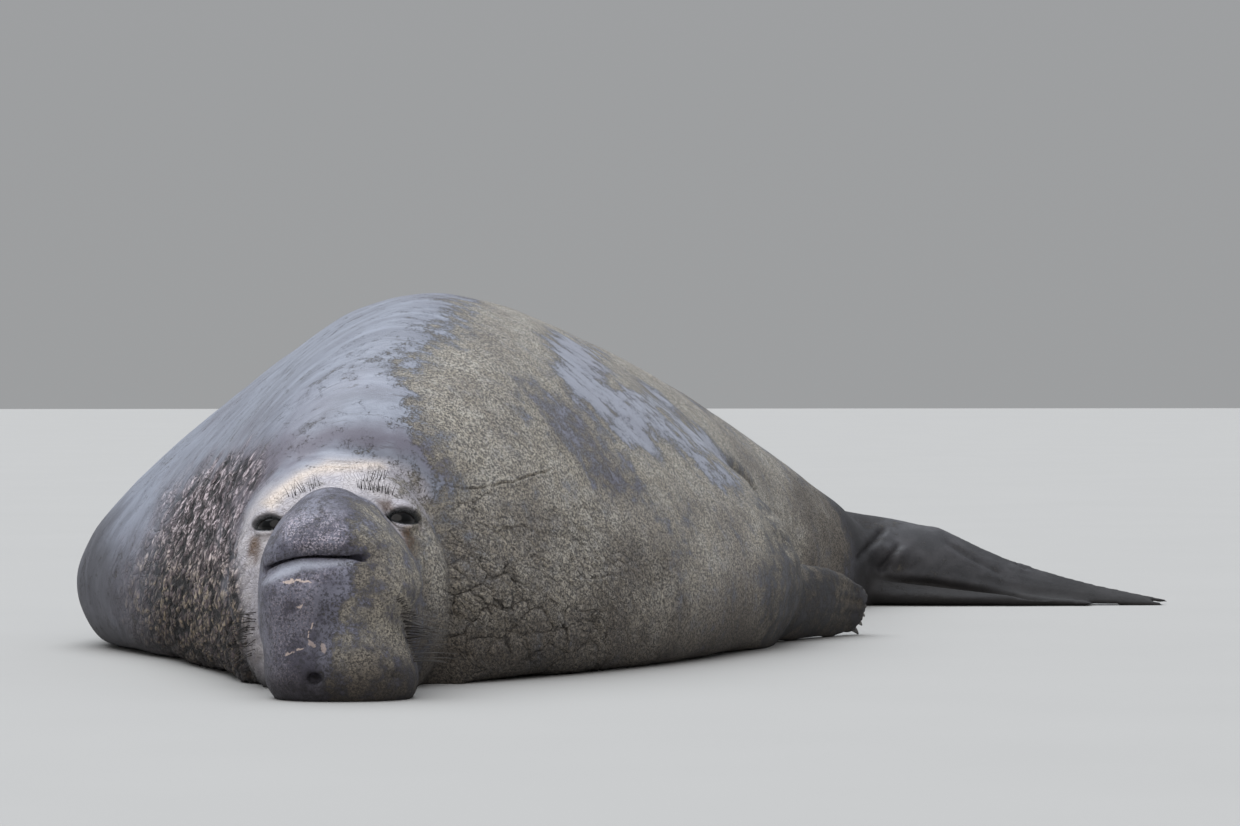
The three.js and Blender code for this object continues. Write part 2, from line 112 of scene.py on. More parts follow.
@dataclass(frozen=True)
class Viewpoint:
    """The camera's place and lens, which are the photograph's."""

    place: tuple[float, float, float] = (-0.7416, -9.448, 0.595)
    yaw: float = 3.59
    pitch: float = 0.649
    lens: float = 129.5
    sensor: float = 36.0
    picture: tuple[int, int] = (1240, 826)

    def euler(self) -> Euler:
        """The camera's turn."""
        return Euler((math.radians(90 - self.pitch), 0, math.radians(-self.yaw)))

    def towards(self, pixel: Pixel) -> Vector:
        """The direction of the sight line through a point of the picture."""
        wide, high = self.picture
        scale = self.sensor / self.lens / wide
        ahead = Vector(((pixel[0] - wide / 2) * scale, (high / 2 - pixel[1]) * scale, -1))
        return (self.euler().to_matrix() @ ahead).normalized()

    def seen(self, points: np.ndarray) -> np.ndarray:
        """Where points show in the picture.

        Args:
            points: Points in metres, one to a row.

        Returns:
            Their places in the picture, across and down, one to a row.
        """
        turn = np.array(self.euler().to_matrix())
        local = (points - np.array(self.place)) @ turn
        scale = self.lens / self.sensor * self.picture[0] / -local[:, 2]
        middle = np.array(self.picture) / 2
        return middle + np.stack([local[:, 0] * scale, -local[:, 1] * scale], axis=1)


@dataclass(frozen=True)
class HeadFrame:
    """The head's own directions: out to the animal's left, back from the nose, and up. In mm."""

    nose: np.ndarray
    roll: float = math.radians(2.6)
    pivot: float = 150.0

    @classmethod
    def from_eyes(cls) -> HeadFrame:
        """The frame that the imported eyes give, because the middle between them is known from the nose."""
        ends = [np.array(corner) for name in ("eye_left", "eye_right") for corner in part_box(name)]
        middle = sum(ends) / len(ends) / MM
        return cls(middle - np.array((-6.67, 343.0, 296.85)))

    def place(self, out: float, back: float, up: float) -> np.ndarray:
        """A point of the head.

        Args:
            out: How far out to the animal's left.
            back: How far back from the nose.
            up: How far up from the ground, before the head's roll.

        Returns:
            The point in the part's frame, in mm.
        """
        above = up - self.pivot
        cos, sin = math.cos(self.roll), math.sin(self.roll)
        return self.nose + np.array((out * cos - above * sin, back, self.pivot + out * sin + above * cos))

    def local(self, points: np.ndarray) -> np.ndarray:
        """The same points as out, back and up.

        Args:
            points: Points in the part's frame, in mm, one to a row.

        Returns:
            Their places on the head, one to a row.
        """
        cos, sin = math.cos(self.roll), math.sin(self.roll)
        x, y, z = (points - self.nose).T
        lift = z - self.pivot
        return np.stack([x * cos + lift * sin, y, self.pivot - x * sin + lift * cos], axis=1)


class Cloud:
    """Seeded lattice noise, for folds and for uneven edges of the coat's regions."""

    def __init__(self, seed: int) -> None:
        """Draws the lattice's values."""
        self.table = np.random.default_rng(seed).uniform(-1, 1, 4096)

    def corner(self, x: np.ndarray, y: np.ndarray, z: np.ndarray) -> np.ndarray:
        """The value at corners of the lattice."""
        return self.table[(x * 73856093 ^ y * 19349663 ^ z * 83492791) & 4095]

    def at(self, points: np.ndarray, size: float | tuple[float, float, float]) -> np.ndarray:
        """The noise at points.

        Args:
            points: Points, one to a row.
            size: The size of a lattice cell, one for all axes or one each.

        Returns:
            A value from -1 to 1 for each point.
        """
        scaled = points / np.array(size)
        base = np.floor(scaled).astype(np.int64)
        share = scaled - base
        share = share * share * (3 - 2 * share)
        total = np.zeros(len(points))
        for corner in range(8):
            step = np.array((corner & 1, corner >> 1 & 1, corner >> 2 & 1))
            weight = np.prod(np.where(step == 1, share, 1 - share), axis=1)
            total += weight * self.corner(*(base + step).T)
        return total

    def spread(self, points: np.ndarray, size: float, shifts: tuple[float, ...]) -> np.ndarray:
        """The noise at the points after each of some shifts, one column for each shift."""
        return np.stack([self.at(points + shift, size) for shift in shifts], axis=1)


class Cells:
    """Seeded cells, whose borders make a net of folds."""

    def __init__(self, seed: int) -> None:
        """Draws where each cell's middle lies."""
        self.clouds = [Cloud(seed + axis) for axis in range(3)]

    def at(self, points: np.ndarray, size: tuple[float, float, float]) -> np.ndarray:
        """How far points are from the nearest border.

        Args:
            points: Points, one to a row.
            size: A cell's size along each axis.

        Returns:
            0 on a border, rising to about 1 in the middle of a large cell.
        """
        scaled = points / np.array(size)
        base = np.floor(scaled).astype(np.int64)
        first = np.full(len(points), np.inf)
        second = first.copy()
        for step in np.ndindex(3, 3, 3):
            cell = base + np.array(step) - 1
            middle = cell + 0.5 + 0.42 * np.stack([cloud.corner(*cell.T) for cloud in self.clouds], axis=1)
            gap = np.linalg.norm(scaled - middle, axis=1)
            second = np.minimum(second, np.maximum(first, gap))
            first = np.minimum(first, gap)
        return second - first


@dataclass
class Region:
    """A part of the picture inside a closed outline with a soft edge."""

    outline: list[Pixel]
    soft: float

    def cover(self, seen: np.ndarray) -> np.ndarray:
        """How much of the region covers each place.

        Args:
            seen: Places in the picture, one to a row.

        Returns:
            1 well inside the outline, 0 well outside and a soft step between.
        """
        corners = np.array(self.outline)
        nearest = np.full(len(seen), np.inf)
        inside = np.zeros(len(seen), bool)
        for start, end in zip(corners, np.roll(corners, -1, axis=0)):
            along = end - start
            share = np.clip((seen - start) @ along / (along @ along), 0, 1)
            gap = np.linalg.norm(seen - start - share[:, None] * along, axis=1)
            nearest = np.minimum(nearest, gap)
            crosses = (start[1] > seen[:, 1]) != (end[1] > seen[:, 1])
            level = (seen[:, 1] - start[1]) / (along[1] if along[1] else 1)
            inside ^= crosses & (seen[:, 0] < start[0] + level * along[0])
        return smooth_step(-self.soft, self.soft, np.where(inside, nearest, -nearest))


def within(seen: np.ndarray, soft: float, *outlines: list[Pixel]) -> np.ndarray:
    """How much the nearest of some regions with equally soft edges covers each place."""
    return np.max([Region(outline, soft).cover(seen) for outline in outlines], axis=0)


class Surface:
    """A mesh object's points as arrays in mm, for shaping in code."""

    def __init__(self, target: bpy.types.Object) -> None:
        """Reads the object's mesh."""
        self.target = target
        self.points = np.empty(0)
        self.edges = np.empty(0)
        self.read()

    def read(self) -> None:
        """Takes the points and edges from the mesh."""
        mesh = self.target.data
        flat = np.empty(len(mesh.vertices) * 3, np.float32)
        mesh.vertices.foreach_get("co", flat)
        self.points = flat.reshape(-1, 3).astype(float) / MM
        ends = np.empty(len(mesh.edges) * 2, np.int32)
        mesh.edges.foreach_get("vertices", ends)
        self.edges = ends.reshape(-1, 2)

    def write(self) -> None:
        """Puts the points back into the mesh."""
        self.target.data.vertices.foreach_set("co", (self.points * MM).astype(np.float32).ravel())
        self.target.data.update()

    def normals(self) -> np.ndarray:
        """The outward directions at the points, as they lie now."""
        self.write()
        flat = np.empty(len(self.points) * 3, np.float32)
        self.target.data.vertex_normals.foreach_get("vector", flat)
        return flat.reshape(-1, 3).astype(float)

    def relax(self, weight: np.ndarray, rounds: int, pull: float = 0.5) -> None:
        """Evens the surface out.

        Args:
            weight: How strongly each point is moved, from 0 to 1.
            rounds: How many times.
            pull: How far a point goes towards the middle of its neighbours each time.
        """
        count = len(self.points)
        first, second = self.edges.T
        degree = np.maximum(np.bincount(self.edges.ravel(), minlength=count), 1)
        strength = weight * pull
        for _ in range(rounds):
            for axis in range(3):
                level = self.points[:, axis]
                total = np.bincount(first, level[second], count) + np.bincount(second, level[first], count)
                level += strength * (total / degree - level)

    def refine(self, chosen: np.ndarray, cuts: int = 1) -> None:
        """Divides the faces whose corners are all chosen.

        Args:
            chosen: Whether each point is chosen.
            cuts: The number of cuts across each edge.
        """
        self.write()
        self.select(chosen)
        bpy.ops.object.mode_set(mode="EDIT")
        bpy.ops.mesh.subdivide(number_cuts=cuts, smoothness=0)
        bpy.ops.object.mode_set(mode="OBJECT")
        self.read()

    def thin(self, chosen: np.ndarray, ratio: float) -> None:
        """Leaves fewer faces among the chosen points, and most of them where the surface bends.

        Args:
            chosen: Whether each point is chosen.
            ratio: The share of the faces that is left.
        """
        self.write()
        self.select(chosen)
        bpy.ops.object.mode_set(mode="EDIT")
        bpy.ops.mesh.decimate(ratio=ratio)
        bpy.ops.object.mode_set(mode="OBJECT")
        self.read()

    def select(self, chosen: np.ndarray) -> None:
        """Selects points, and the edges and faces that lie wholly among them."""
        take(self.target)
        mesh = self.target.data
        bpy.context.scene.tool_settings.mesh_select_mode = (True, False, False)
        mesh.vertices.foreach_set("select", chosen)
        mesh.edges.foreach_set("select", chosen[self.edges].all(axis=1))
        corners = np.empty(len(mesh.loops), np.int32)
        mesh.loops.foreach_get("vertex_index", corners)
        starts = np.empty(len(mesh.polygons), np.int32)
        mesh.polygons.foreach_get("loop_start", starts)
        mesh.polygons.foreach_set("select", np.logical_and.reduceat(chosen[corners], starts))

    def push(self, place: np.ndarray, reach: tuple[float, float, float], height: float) -> None:
        """Raises or sinks the surface softly round a place.

        Args:
            place: The middle of the push.
            reach: How far it reaches along each axis.
            height: How far out it goes. Below zero it goes in.
        """
        away = (self.points - place) / np.array(reach)
        near = np.flatnonzero((away**2).sum(axis=1) < 9)
        strength = np.exp(-(away[near] ** 2).sum(axis=1)) * height
        self.points[near] += strength[:, None] * self.normals()[near]

    def near(self, path: np.ndarray, reach: float) -> tuple[np.ndarray, ...]:
        """The points near a path.

        Args:
            path: The path's points, one to a row.
            reach: How far from the path to look.

        Returns:
            Their numbers, how far off the path they are, how far along it from 0 to 1, the offset
            from the path and the path's direction there.
        """
        low, high = path.min(axis=0) - reach, path.max(axis=0) + reach
        numbers = np.flatnonzero(((self.points > low) & (self.points < high)).all(axis=1))
        spots = self.points[numbers]
        best = np.full(len(spots), np.inf)
        share = np.zeros(len(spots))
        offset, heading = np.zeros_like(spots), np.zeros_like(spots)
        for i, (start, end) in enumerate(zip(path[:-1], path[1:])):
            along = end - start
            at = np.clip((spots - start) @ along / (along @ along), 0, 1)
            away = spots - start - at[:, None] * along
            gap = np.linalg.norm(away, axis=1)
            closer = gap < best
            best[closer], share[closer], offset[closer] = gap[closer], i + at[closer], away[closer]
            heading[closer] = along / np.linalg.norm(along)
        kept = best < reach
        return numbers[kept], best[kept], share[kept] / (len(path) - 1), offset[kept], heading[kept]

    def crease(self, path: np.ndarray, depth: float, width: float, lips: tuple[float, float] = (0, 0),
               pinch: float = 0.25, fade: float = 0.2) -> None:
        """Sinks a crease along a path, with a raised lip on either side.

        Args:
            path: The path's points, one to a row.
            depth: How deep the crease is.
            width: Half its width.
            lips: How high the lips above and below the path stand, for a path from the left to the right.
            pinch: How far the sides are drawn together.
            fade: The share of the path at each end over which the crease fades out.
        """
        numbers, gap, share, offset, heading = self.near(path, width * 6)
        if not len(numbers):
            return
        normals = self.normals()[numbers]
        ends = smooth_step(0, fade, share) * smooth_step(1, 1 - fade, share)
        above = (np.cross(normals, heading) * offset).sum(axis=1) > 0
        lip = np.where(above, lips[0], lips[1]) * bell(gap - width * 2.2, width * 1.3)
        height = ends * (lip - depth * bell(gap, width))
        draw = ends * pinch * bell(gap, width * 2)
        self.points[numbers] += height[:, None] * normals - draw[:, None] * offset

    def attribute(self, name: str, values: np.ndarray) -> None:
        """Keeps a value at each point under a name that a material can read."""
        mesh = self.target.data
        layer = mesh.attributes.new(name, "FLOAT", "POINT")
        layer.data.foreach_set("value", np.clip(values, 0, 1).astype(np.float32))


class Sight:
    """Finds the places on a surface that show at points of the picture."""

    def __init__(self, view: Viewpoint, surface: Surface) -> None:
        """Builds the search tree of the surface as it is now."""
        surface.write()
        self.view = view
        self.tree = BVHTree.FromObject(surface.target, bpy.context.evaluated_depsgraph_get())

    def spot(self, pixel: Pixel) -> np.ndarray | None:
        """The place that shows at a point of the picture, in mm, or None beside the object."""
        found = self.tree.ray_cast(Vector(self.view.place), self.view.towards(pixel))[0]
        return None if found is None else np.array(found) / MM

    def path(self, *pixels: Pixel, step: float = 5.0) -> np.ndarray:
        """A path on the surface through points of the picture.

        Args:
            pixels: Points of the picture, in order.
            step: How far apart the path's points are, in pixels.

        Returns:
            The path's points, one to a row, in mm.
        """
        corners = np.array(pixels, float)
        spots = []
        for start, end in zip(corners[:-1], corners[1:]):
            parts = max(1, int(np.linalg.norm(end - start) / step))
            spots += [self.spot(tuple(start + (end - start) * part / parts)) for part in range(parts)]
        spots.append(self.spot(tuple(corners[-1])))
        return np.array([each for each in spots if each is not None])


class Nodes:
    """Builds a node tree with short calls."""

    def __init__(self, tree: bpy.types.NodeTree) -> None:
        """Takes the tree to build in."""
        self.tree = tree

    def add(self, kind: str, inputs: dict | None = None, **settings) -> bpy.types.Node:
        """Adds a node.

        Args:
            kind: The node's type, without the word ShaderNode.
            inputs: A value or a socket to link for each input, by name or number.
            settings: The node's own settings.

        Returns:
            The node.
        """
        node = self.tree.nodes.new("ShaderNode" + kind)
        for name, value in settings.items():
            setattr(node, name, value)
        self.feed(node, inputs or {})
        return node

    def feed(self, node: bpy.types.Node, inputs: dict) -> None:
        """Sets or links inputs of a node.

        Args:
            node: The node.
            inputs: A value or a socket to link for each input, by name or number.
        """
        for name, value in inputs.items():
            if isinstance(value, bpy.types.NodeSocket):
                self.tree.links.new(value, node.inputs[name])
            else:
                node.inputs[name].default_value = value

    def math(self, operation: str, *values, clamp: bool = False) -> bpy.types.NodeSocket:
        """A calculation with one to three values or sockets."""
        return self.add("Math", dict(enumerate(values)), operation=operation, use_clamp=clamp).outputs[0]

    def times(self, first, second) -> bpy.types.NodeSocket:
        """The product of two values or sockets."""
        return self.math("MULTIPLY", first, second)

    def vector(self, operation: str, first, second) -> bpy.types.Node:
        """A calculation with two vectors."""
        return self.add("VectorMath", {0: first, 1: second}, operation=operation)

    def scaled(self, vector, factor) -> bpy.types.NodeSocket:
        """A vector made longer or shorter."""
        return self.add("VectorMath", {0: vector, "Scale": factor}, operation="SCALE").outputs[0]

    def swayed(self, vector, scale: float, reach: float) -> bpy.types.NodeSocket:
        """A place moved about by noise.

        Args:
            vector: The place.
            scale: The noise's cells to a metre.
            reach: How strongly the place is moved.

        Returns:
            The moved place.
        """
        sway = self.add("TexNoise", {"Vector": vector, "Scale": scale, "Detail": 2}).outputs["Color"]
        shift = self.vector("SUBTRACT", sway, (0.5, 0.5, 0.5)).outputs[0]
        return self.vector("ADD", vector, self.scaled(shift, reach)).outputs[0]

    def mix(self, factor, first, second, blend: str = "MIX") -> bpy.types.NodeSocket:
        """Mixes two colours.

        Args:
            factor: How much of the second.
            first: A colour or a socket.
            second: A colour or a socket.
            blend: The way of mixing.

        Returns:
            The mixed colour.
        """
        full = [tuple(each) + (1.0,) if isinstance(each, tuple) and len(each) == 3 else each
                for each in (first, second)]
        node = self.add("Mix", {0: factor, 6: full[0], 7: full[1]}, data_type="RGBA", blend_type=blend)
        return node.outputs[2]

    def remap(self, value, low: float, high: float, start: float = 0, end: float = 1) -> bpy.types.NodeSocket:
        """A soft step of a value.

        Args:
            value: The value.
            low: Where the step starts.
            high: Where it ends.
            start: The result at low.
            end: The result at high.

        Returns:
            The stepped value.
        """
        sockets = {"Value": value, 1: low, 2: high, 3: start, 4: end}
        return self.add("MapRange", sockets, interpolation_type="SMOOTHSTEP").outputs[0]

    def noise(self, vector, scale: float, detail: float = 2, rough: float = 0.5,
              warp: float = 0) -> bpy.types.NodeSocket:
        """Noise, from 0 to 1.

        Args:
            vector: The place.
            scale: Cells to a metre.
            detail: How many finer layers.
            rough: How strong the finer layers are.
            warp: How far the noise is distorted.

        Returns:
            The noise.
        """
        sockets = {"Vector": vector, "Scale": scale, "Detail": detail, "Roughness": rough, "Distortion": warp}
        return self.add("TexNoise", sockets).outputs["Fac"]

    def stretched(self, vector, scale: tuple[float, float, float],
                  turn: tuple[float, float, float] = (0, 0, 0)) -> bpy.types.NodeSocket:
        """The place turned and then stretched, for a pattern with a direction."""
        turned = self.add("Mapping", {"Vector": vector, "Rotation": turn}).outputs[0] if any(turn) else vector
        return self.add("Mapping", {"Vector": turned, "Scale": scale}).outputs[0]

    def value(self, name: str) -> bpy.types.NodeSocket:
        """A value that the mesh carries."""
        return self.add("Attribute", attribute_name=name).outputs["Fac"]

    def group(self, tree: bpy.types.NodeTree, inputs: dict) -> bpy.types.Node:
        """A node that places a group."""
        return self.add("Group", inputs, node_tree=tree)


def new_group(name: str, inputs: dict[str, str],
              outputs: dict[str, str]) -> tuple[Nodes, dict, bpy.types.Node]:
    """Starts a node group.

    Args:
        name: The group's name.
        inputs: The type of each input, by name.
        outputs: The type of each output, by name.

    Returns:
        The group's nodes, its inputs as sockets by name, and its output node.
    """
    tree = bpy.data.node_groups.new(name, "ShaderNodeTree")
    for direction, sockets in (("INPUT", inputs), ("OUTPUT", outputs)):
        for socket, kind in sockets.items():
            tree.interface.new_socket(socket, in_out=direction, socket_type="NodeSocket" + kind)
    nodes = Nodes(tree)
    start = tree.nodes.new("NodeGroupInput")
    return nodes, {name: start.outputs[name] for name in inputs}, tree.nodes.new("NodeGroupOutput")


class Effects:
    """The node groups that several finishes share."""

    def __init__(self) -> None:
        """Builds the groups."""
        self.sand = self.build_sand()
        self.folds = self.build_folds()
        self.stroke = self.build_stroke()

    def build_sand(self) -> bpy.types.NodeTree:
        """Fine sand that clings to the coat.

        Returns:
            A group that gives the cover, the colour and the height of the grains.
        """
        nodes, given, out = new_group("Clinging sand", {"Vector": "Vector", "Amount": "Float"},
                                      {"Cover": "Float", "Colour": "Color", "Height": "Float"})
        place = given["Vector"]
        grain = nodes.noise(place, 215, 4, 0.85, 0.6)
        clump = nodes.noise(place, 34, 4, 0.65)
        patch = nodes.noise(place, 6, 3, 0.55)
        streak = nodes.noise(nodes.stretched(place, (4.5, 30, 5)), 1.0, 4, 0.62)
        cling = nodes.math("MULTIPLY_ADD", streak, 0.16, nodes.times(patch, 0.12))
        cling = nodes.math("MULTIPLY_ADD", grain, 0.42, nodes.math("MULTIPLY_ADD", clump, 0.30, cling))
        level = nodes.math("SUBTRACT", given["Amount"], nodes.remap(cling, 0.37, 0.63))
        cover = nodes.remap(level, -0.14, 0.16)
        shade = nodes.remap(grain, 0.45, 0.57)
        tint = nodes.mix(nodes.remap(clump, 0.35, 0.65), (0.47, 0.42, 0.335), (0.66, 0.61, 0.52))
        tint = nodes.mix(nodes.remap(patch, 0.4, 0.65, 0, 0.6), tint, (0.30, 0.255, 0.205))
        colour = nodes.mix(shade, nodes.mix(0.9, tint, (0.045, 0.04, 0.038)), tint)
        nodes.feed(out, {"Cover": cover, "Colour": colour, "Height": nodes.times(grain, cover)})
        return nodes.tree

    def build_folds(self) -> bpy.types.NodeTree:
        """A net of fine folds, as old hide has.

        Returns:
            A group that gives the folds' lines, 1 in a fold, and the height of the hide between them.
        """
        nodes, given, out = new_group(
            "Net of folds", {"Vector": "Vector", "Scale": "Float", "Width": "Float"},
            {"Line": "Float", "Height": "Float"})
        place = nodes.swayed(given["Vector"], 14, 0.07)
        sockets = {"Vector": place, "Scale": given["Scale"]}
        cells = nodes.add("TexVoronoi", sockets, feature="DISTANCE_TO_EDGE")
        height = nodes.math("DIVIDE", cells.outputs["Distance"], given["Width"], clamp=True)
        line = nodes.math("SUBTRACT", 1.0, height)
        nodes.feed(out, {"Line": line, "Height": nodes.math("POWER", height, 0.6)})
        return nodes.tree

    def build_stroke(self) -> bpy.types.NodeTree:
        """One thin mark from a start to an end.

        Returns:
            A group that gives 1 on the mark, with uneven edges.
        """
        nodes, given, out = new_group(
            "Thin mark", {"Vector": "Vector", "Start": "Vector", "End": "Vector", "Width": "Float"},
            {"Mark": "Float"})
        place = nodes.swayed(given["Vector"], 90, 0.012)
        reach = nodes.vector("SUBTRACT", given["End"], given["Start"]).outputs[0]
        away = nodes.vector("SUBTRACT", place, given["Start"]).outputs[0]
        dot = nodes.vector("DOT_PRODUCT", away, reach).outputs["Value"]
        square = nodes.vector("DOT_PRODUCT", reach, reach).outputs["Value"]
        share = nodes.math("DIVIDE", dot, square, clamp=True)
        gap = nodes.vector("DISTANCE", away, nodes.scaled(reach, share)).outputs["Value"]
        middle = nodes.math("ABSOLUTE", nodes.math("MULTIPLY_ADD", share, 2.0, -1.0))
        taper = nodes.math("SUBTRACT", 1.0, nodes.math("POWER", middle, 3.0))
        fine = nodes.noise(given["Vector"], 420, 2, 0.6)
        edge = nodes.times(nodes.times(given["Width"], taper), nodes.math("MULTIPLY_ADD", fine, 1.6, 0.2))
        edge = nodes.math("MAXIMUM", edge, 0.00001)
        mark = nodes.math("SUBTRACT", 1.0, nodes.math("DIVIDE", gap, edge), clamp=True)
        nodes.feed(out, {"Mark": nodes.remap(mark, 0.0, 0.4)})
        return nodes.tree


def new_material(name: str) -> tuple[bpy.types.Material, Nodes, bpy.types.Node]:
    """Starts a material.

    Args:
        name: The material's name.

    Returns:
        The material, its nodes and its shader node.
    """
    material = bpy.data.materials.new(name)
    material.use_nodes = True
    return material, Nodes(material.node_tree), material.node_tree.nodes["Principled BSDF"]


@dataclass(frozen=True)
class Scar:
    """A thin pale mark between two points of the picture."""

    start: Pixel
    end: Pixel
    width: float
    strength: float = 1.0


@dataclass(frozen=True)
class Grain:
    """The place on the hide and the noises that all its parts share, from the coarse to the fine."""

    place: bpy.types.NodeSocket
    middle: bpy.types.NodeSocket
    fine: bpy.types.NodeSocket
    speck: bpy.types.NodeSocket


@dataclass(frozen=True)
class HideFinish:
    """The hide: clean slate, dry sand, the chest's rough shield and the pale face, darker at the ground edge,
    partly wet and partly painted shade, with painted shade low down and in the creases, and painted
    highlights on the trunk's lip and the bare patches.
    """

    slate: Colour = (0.165, 0.175, 0.215)
    slate_light: Colour = (0.27, 0.29, 0.35)
    plum: Colour = (0.115, 0.10, 0.13)
    bark: Colour = (0.075, 0.055, 0.06)
    shield: Colour = (0.16, 0.12, 0.13)
    fleck: Colour = (0.70, 0.59, 0.61)
    tan: Colour = (0.42, 0.34, 0.24)
    # painted shadow colour for the shield's grooves and fold lines
    groove_shadow: Colour = (0.012, 0.010, 0.011)
    face: Colour = (0.53, 0.49, 0.50)
    cream: Colour = (0.74, 0.62, 0.52)
    tear: Colour = (0.12, 0.07, 0.04)
    trunk: Colour = (0.075, 0.07, 0.10)
    # painted highlight colour: light on the trunk's lip and sheen on the bare patches
    painted_highlight: Colour = (0.36, 0.37, 0.43)
    dark: Colour = (0.028, 0.027, 0.031)
    scar: Colour = (0.62, 0.50, 0.45)
    # colour of the lids' dark edges and of the painted shadow on the upper lids
    lid_edge_and_shadow: Colour = (0.010, 0.012, 0.014)
    # painted shade colour, multiplied into the hide
    shade: Colour = (0.33, 0.30, 0.28)
    roughness: float = 0.42

    def build(self, effects: Effects, scars: list[tuple[np.ndarray, np.ndarray, Scar]]) -> bpy.types.Material:
        """Makes the material.

        Args:
            effects: The shared node groups.
            scars: The two ends of each scar in mm, with the scar.

        Returns:
            The material.
        """
        material, nodes, shader = new_material("Hide")
        place = nodes.add("TexCoord").outputs["Object"]
        value = nodes.value
        middle = nodes.noise(place, 17, 4, 0.62)
        grain = Grain(place, middle, nodes.noise(place, 150, 3, 0.7), nodes.noise(place, 240, 3, 0.8))
        net = {"Vector": nodes.stretched(place, (0.45, 1.0, 0.9), (0, 0.87, 0)), "Scale": 95.0, "Width": 0.16}
        folds = nodes.group(effects.folds, net)
        slate, rough = self.slate_coat(nodes, grain), self.shield_coat(nodes, grain, folds)
        base = nodes.mix(value("shield"), slate, rough)
        base = nodes.mix(value("pale"), base, self.face_coat(nodes, grain))
        base = nodes.mix(value("trunk"), base, self.trunk_coat(nodes, grain))
        # painted highlight on the trunk's lip and painted sheen on the bare patches
        painted_highlight = nodes.times(value("painted_highlight"), nodes.remap(grain.speck, 0.3, 0.5, 0.5, 1))
        base = nodes.mix(painted_highlight, base, self.painted_highlight)
        # darker flippers: the hind flippers' own dark skin, partly painted shade on the fore flipper
        dark = nodes.mix(nodes.remap(middle, 0.4, 0.75), self.dark, (0.065, 0.062, 0.068))
        base = nodes.mix(value("dark"), base, dark)
        base = nodes.mix(nodes.times(value("tear"), nodes.remap(middle, 0.25, 0.6)), base, self.tear)
        for start, end, scar in scars:
            mark = nodes.group(effects.stroke, {"Vector": place, "Start": tuple(start * MM),
                                                "End": tuple(end * MM), "Width": scar.width * MM})
            base = nodes.mix(nodes.times(mark.outputs["Mark"], scar.strength), base, self.scar)

        sand = nodes.group(effects.sand, {"Vector": place, "Amount": value("sand")})
        base = nodes.mix(nodes.times(sand.outputs["Cover"], 0.92), base, sand.outputs["Colour"])
        # painted shadow in the flank's cracks and wrinkles
        base = nodes.mix(nodes.times(value("crack"), 0.8), base, (0.03, 0.025, 0.022))
        # painted shade, multiplied in
        base = nodes.mix(value("shade"), base, self.shade, "MULTIPLY")
        # the lids' dark edges, and painted shadow on the upper lids
        base = nodes.mix(value("lid_edge_and_shadow"), base, self.lid_edge_and_shadow)
        # painted shade: the dark ground edge, partly wet, and painted shadow over the trunk's crease, in the
        # nostrils and in the hind flippers' gap
        base = nodes.mix(nodes.times(value("damp"), 0.8), base, (0.012, 0.01, 0.009))

        gloss = nodes.math("MULTIPLY_ADD", grain.fine, 0.18, self.roughness - 0.09)
        gloss = nodes.math("ADD", gloss, nodes.times(value("shield"), 0.16))
        dry = nodes.times(sand.outputs["Cover"], 0.42)
        dry = nodes.math("MAXIMUM", dry, nodes.times(value("shade"), 0.4))
        gloss = nodes.math("ADD", gloss, dry, clamp=True)
        gloss = nodes.math("SUBTRACT", gloss, nodes.times(value("lid_edge_and_shadow"), 0.3))
        height = self.relief(nodes, grain, effects, folds, sand)
        bump = nodes.add("Bump", {"Height": height, "Strength": 1.0, "Distance": 1.0})
        nodes.feed(shader, {"Base Color": base, "Roughness": gloss, "Normal": bump.outputs[0],
                            "Specular IOR Level": 0.4, "Sheen Weight": 0.03, "Sheen Roughness": 0.4})
        return material

    def slate_coat(self, nodes: Nodes, grain: Grain) -> bpy.types.NodeSocket:
        """The colour of the clean back, with faint streaks and scratches."""
        streak = nodes.noise(nodes.stretched(grain.place, (6, 20, 8), (0.1, 0, 0.12)), 1.0, 5, 0.7, 0.5)
        wide = nodes.noise(grain.place, 3.2, 3, 0.55)
        coat = nodes.mix(nodes.remap(streak, 0.32, 0.68), self.slate, self.slate_light)
        coat = nodes.mix(nodes.remap(wide, 0.45, 0.7, 0, 0.35), coat, self.plum)
        coat = nodes.mix(nodes.remap(grain.fine, 0.56, 0.72, 0, 0.3), coat, self.slate_light)
        scratch = nodes.noise(nodes.stretched(grain.place, (10, 75, 18), (0.1, 0, 0.12)), 1.0, 4, 0.75, 0.8)
        coat = nodes.mix(nodes.remap(scratch, 0.42, 0.33, 0, 0.6), coat, (0.06, 0.055, 0.065))
        return nodes.mix(nodes.times(nodes.value("plum"), 0.85), coat, self.plum)

    def shield_coat(self, nodes: Nodes, grain: Grain, folds: bpy.types.Node) -> bpy.types.NodeSocket:
        """The colour of the chest's rough shield.

        Args:
            nodes: The material's nodes.
            grain: The shared noises.
            folds: The net of folds.

        Returns:
            The colour, pale on the flakes, and nearly black between them, which is painted shadow in the
            grooves and fold lines.
        """
        flecks = nodes.noise(nodes.stretched(grain.place, (32, 70, 88), (0, 0.87, 0)), 1.0, 5, 0.78)
        lower = nodes.add("SeparateXYZ", {0: grain.place}).outputs["Z"]
        coat = nodes.mix(nodes.remap(grain.middle, 0.38, 0.64), self.bark, self.shield)
        coat = nodes.mix(nodes.remap(flecks, 0.42, 0.56, 0, 0.7), coat, (0.23, 0.185, 0.195))
        fleck = nodes.mix(nodes.remap(lower, 0.3, 0.12), self.fleck, self.tan)
        flake = nodes.value("flake")
        crest = nodes.times(nodes.remap(flecks, 0.48, 0.56), nodes.remap(flake, 0.15, 0.45))
        coat = nodes.mix(nodes.times(crest, nodes.remap(grain.middle, 0.34, 0.52, 0.3, 1.0)), coat, fleck)
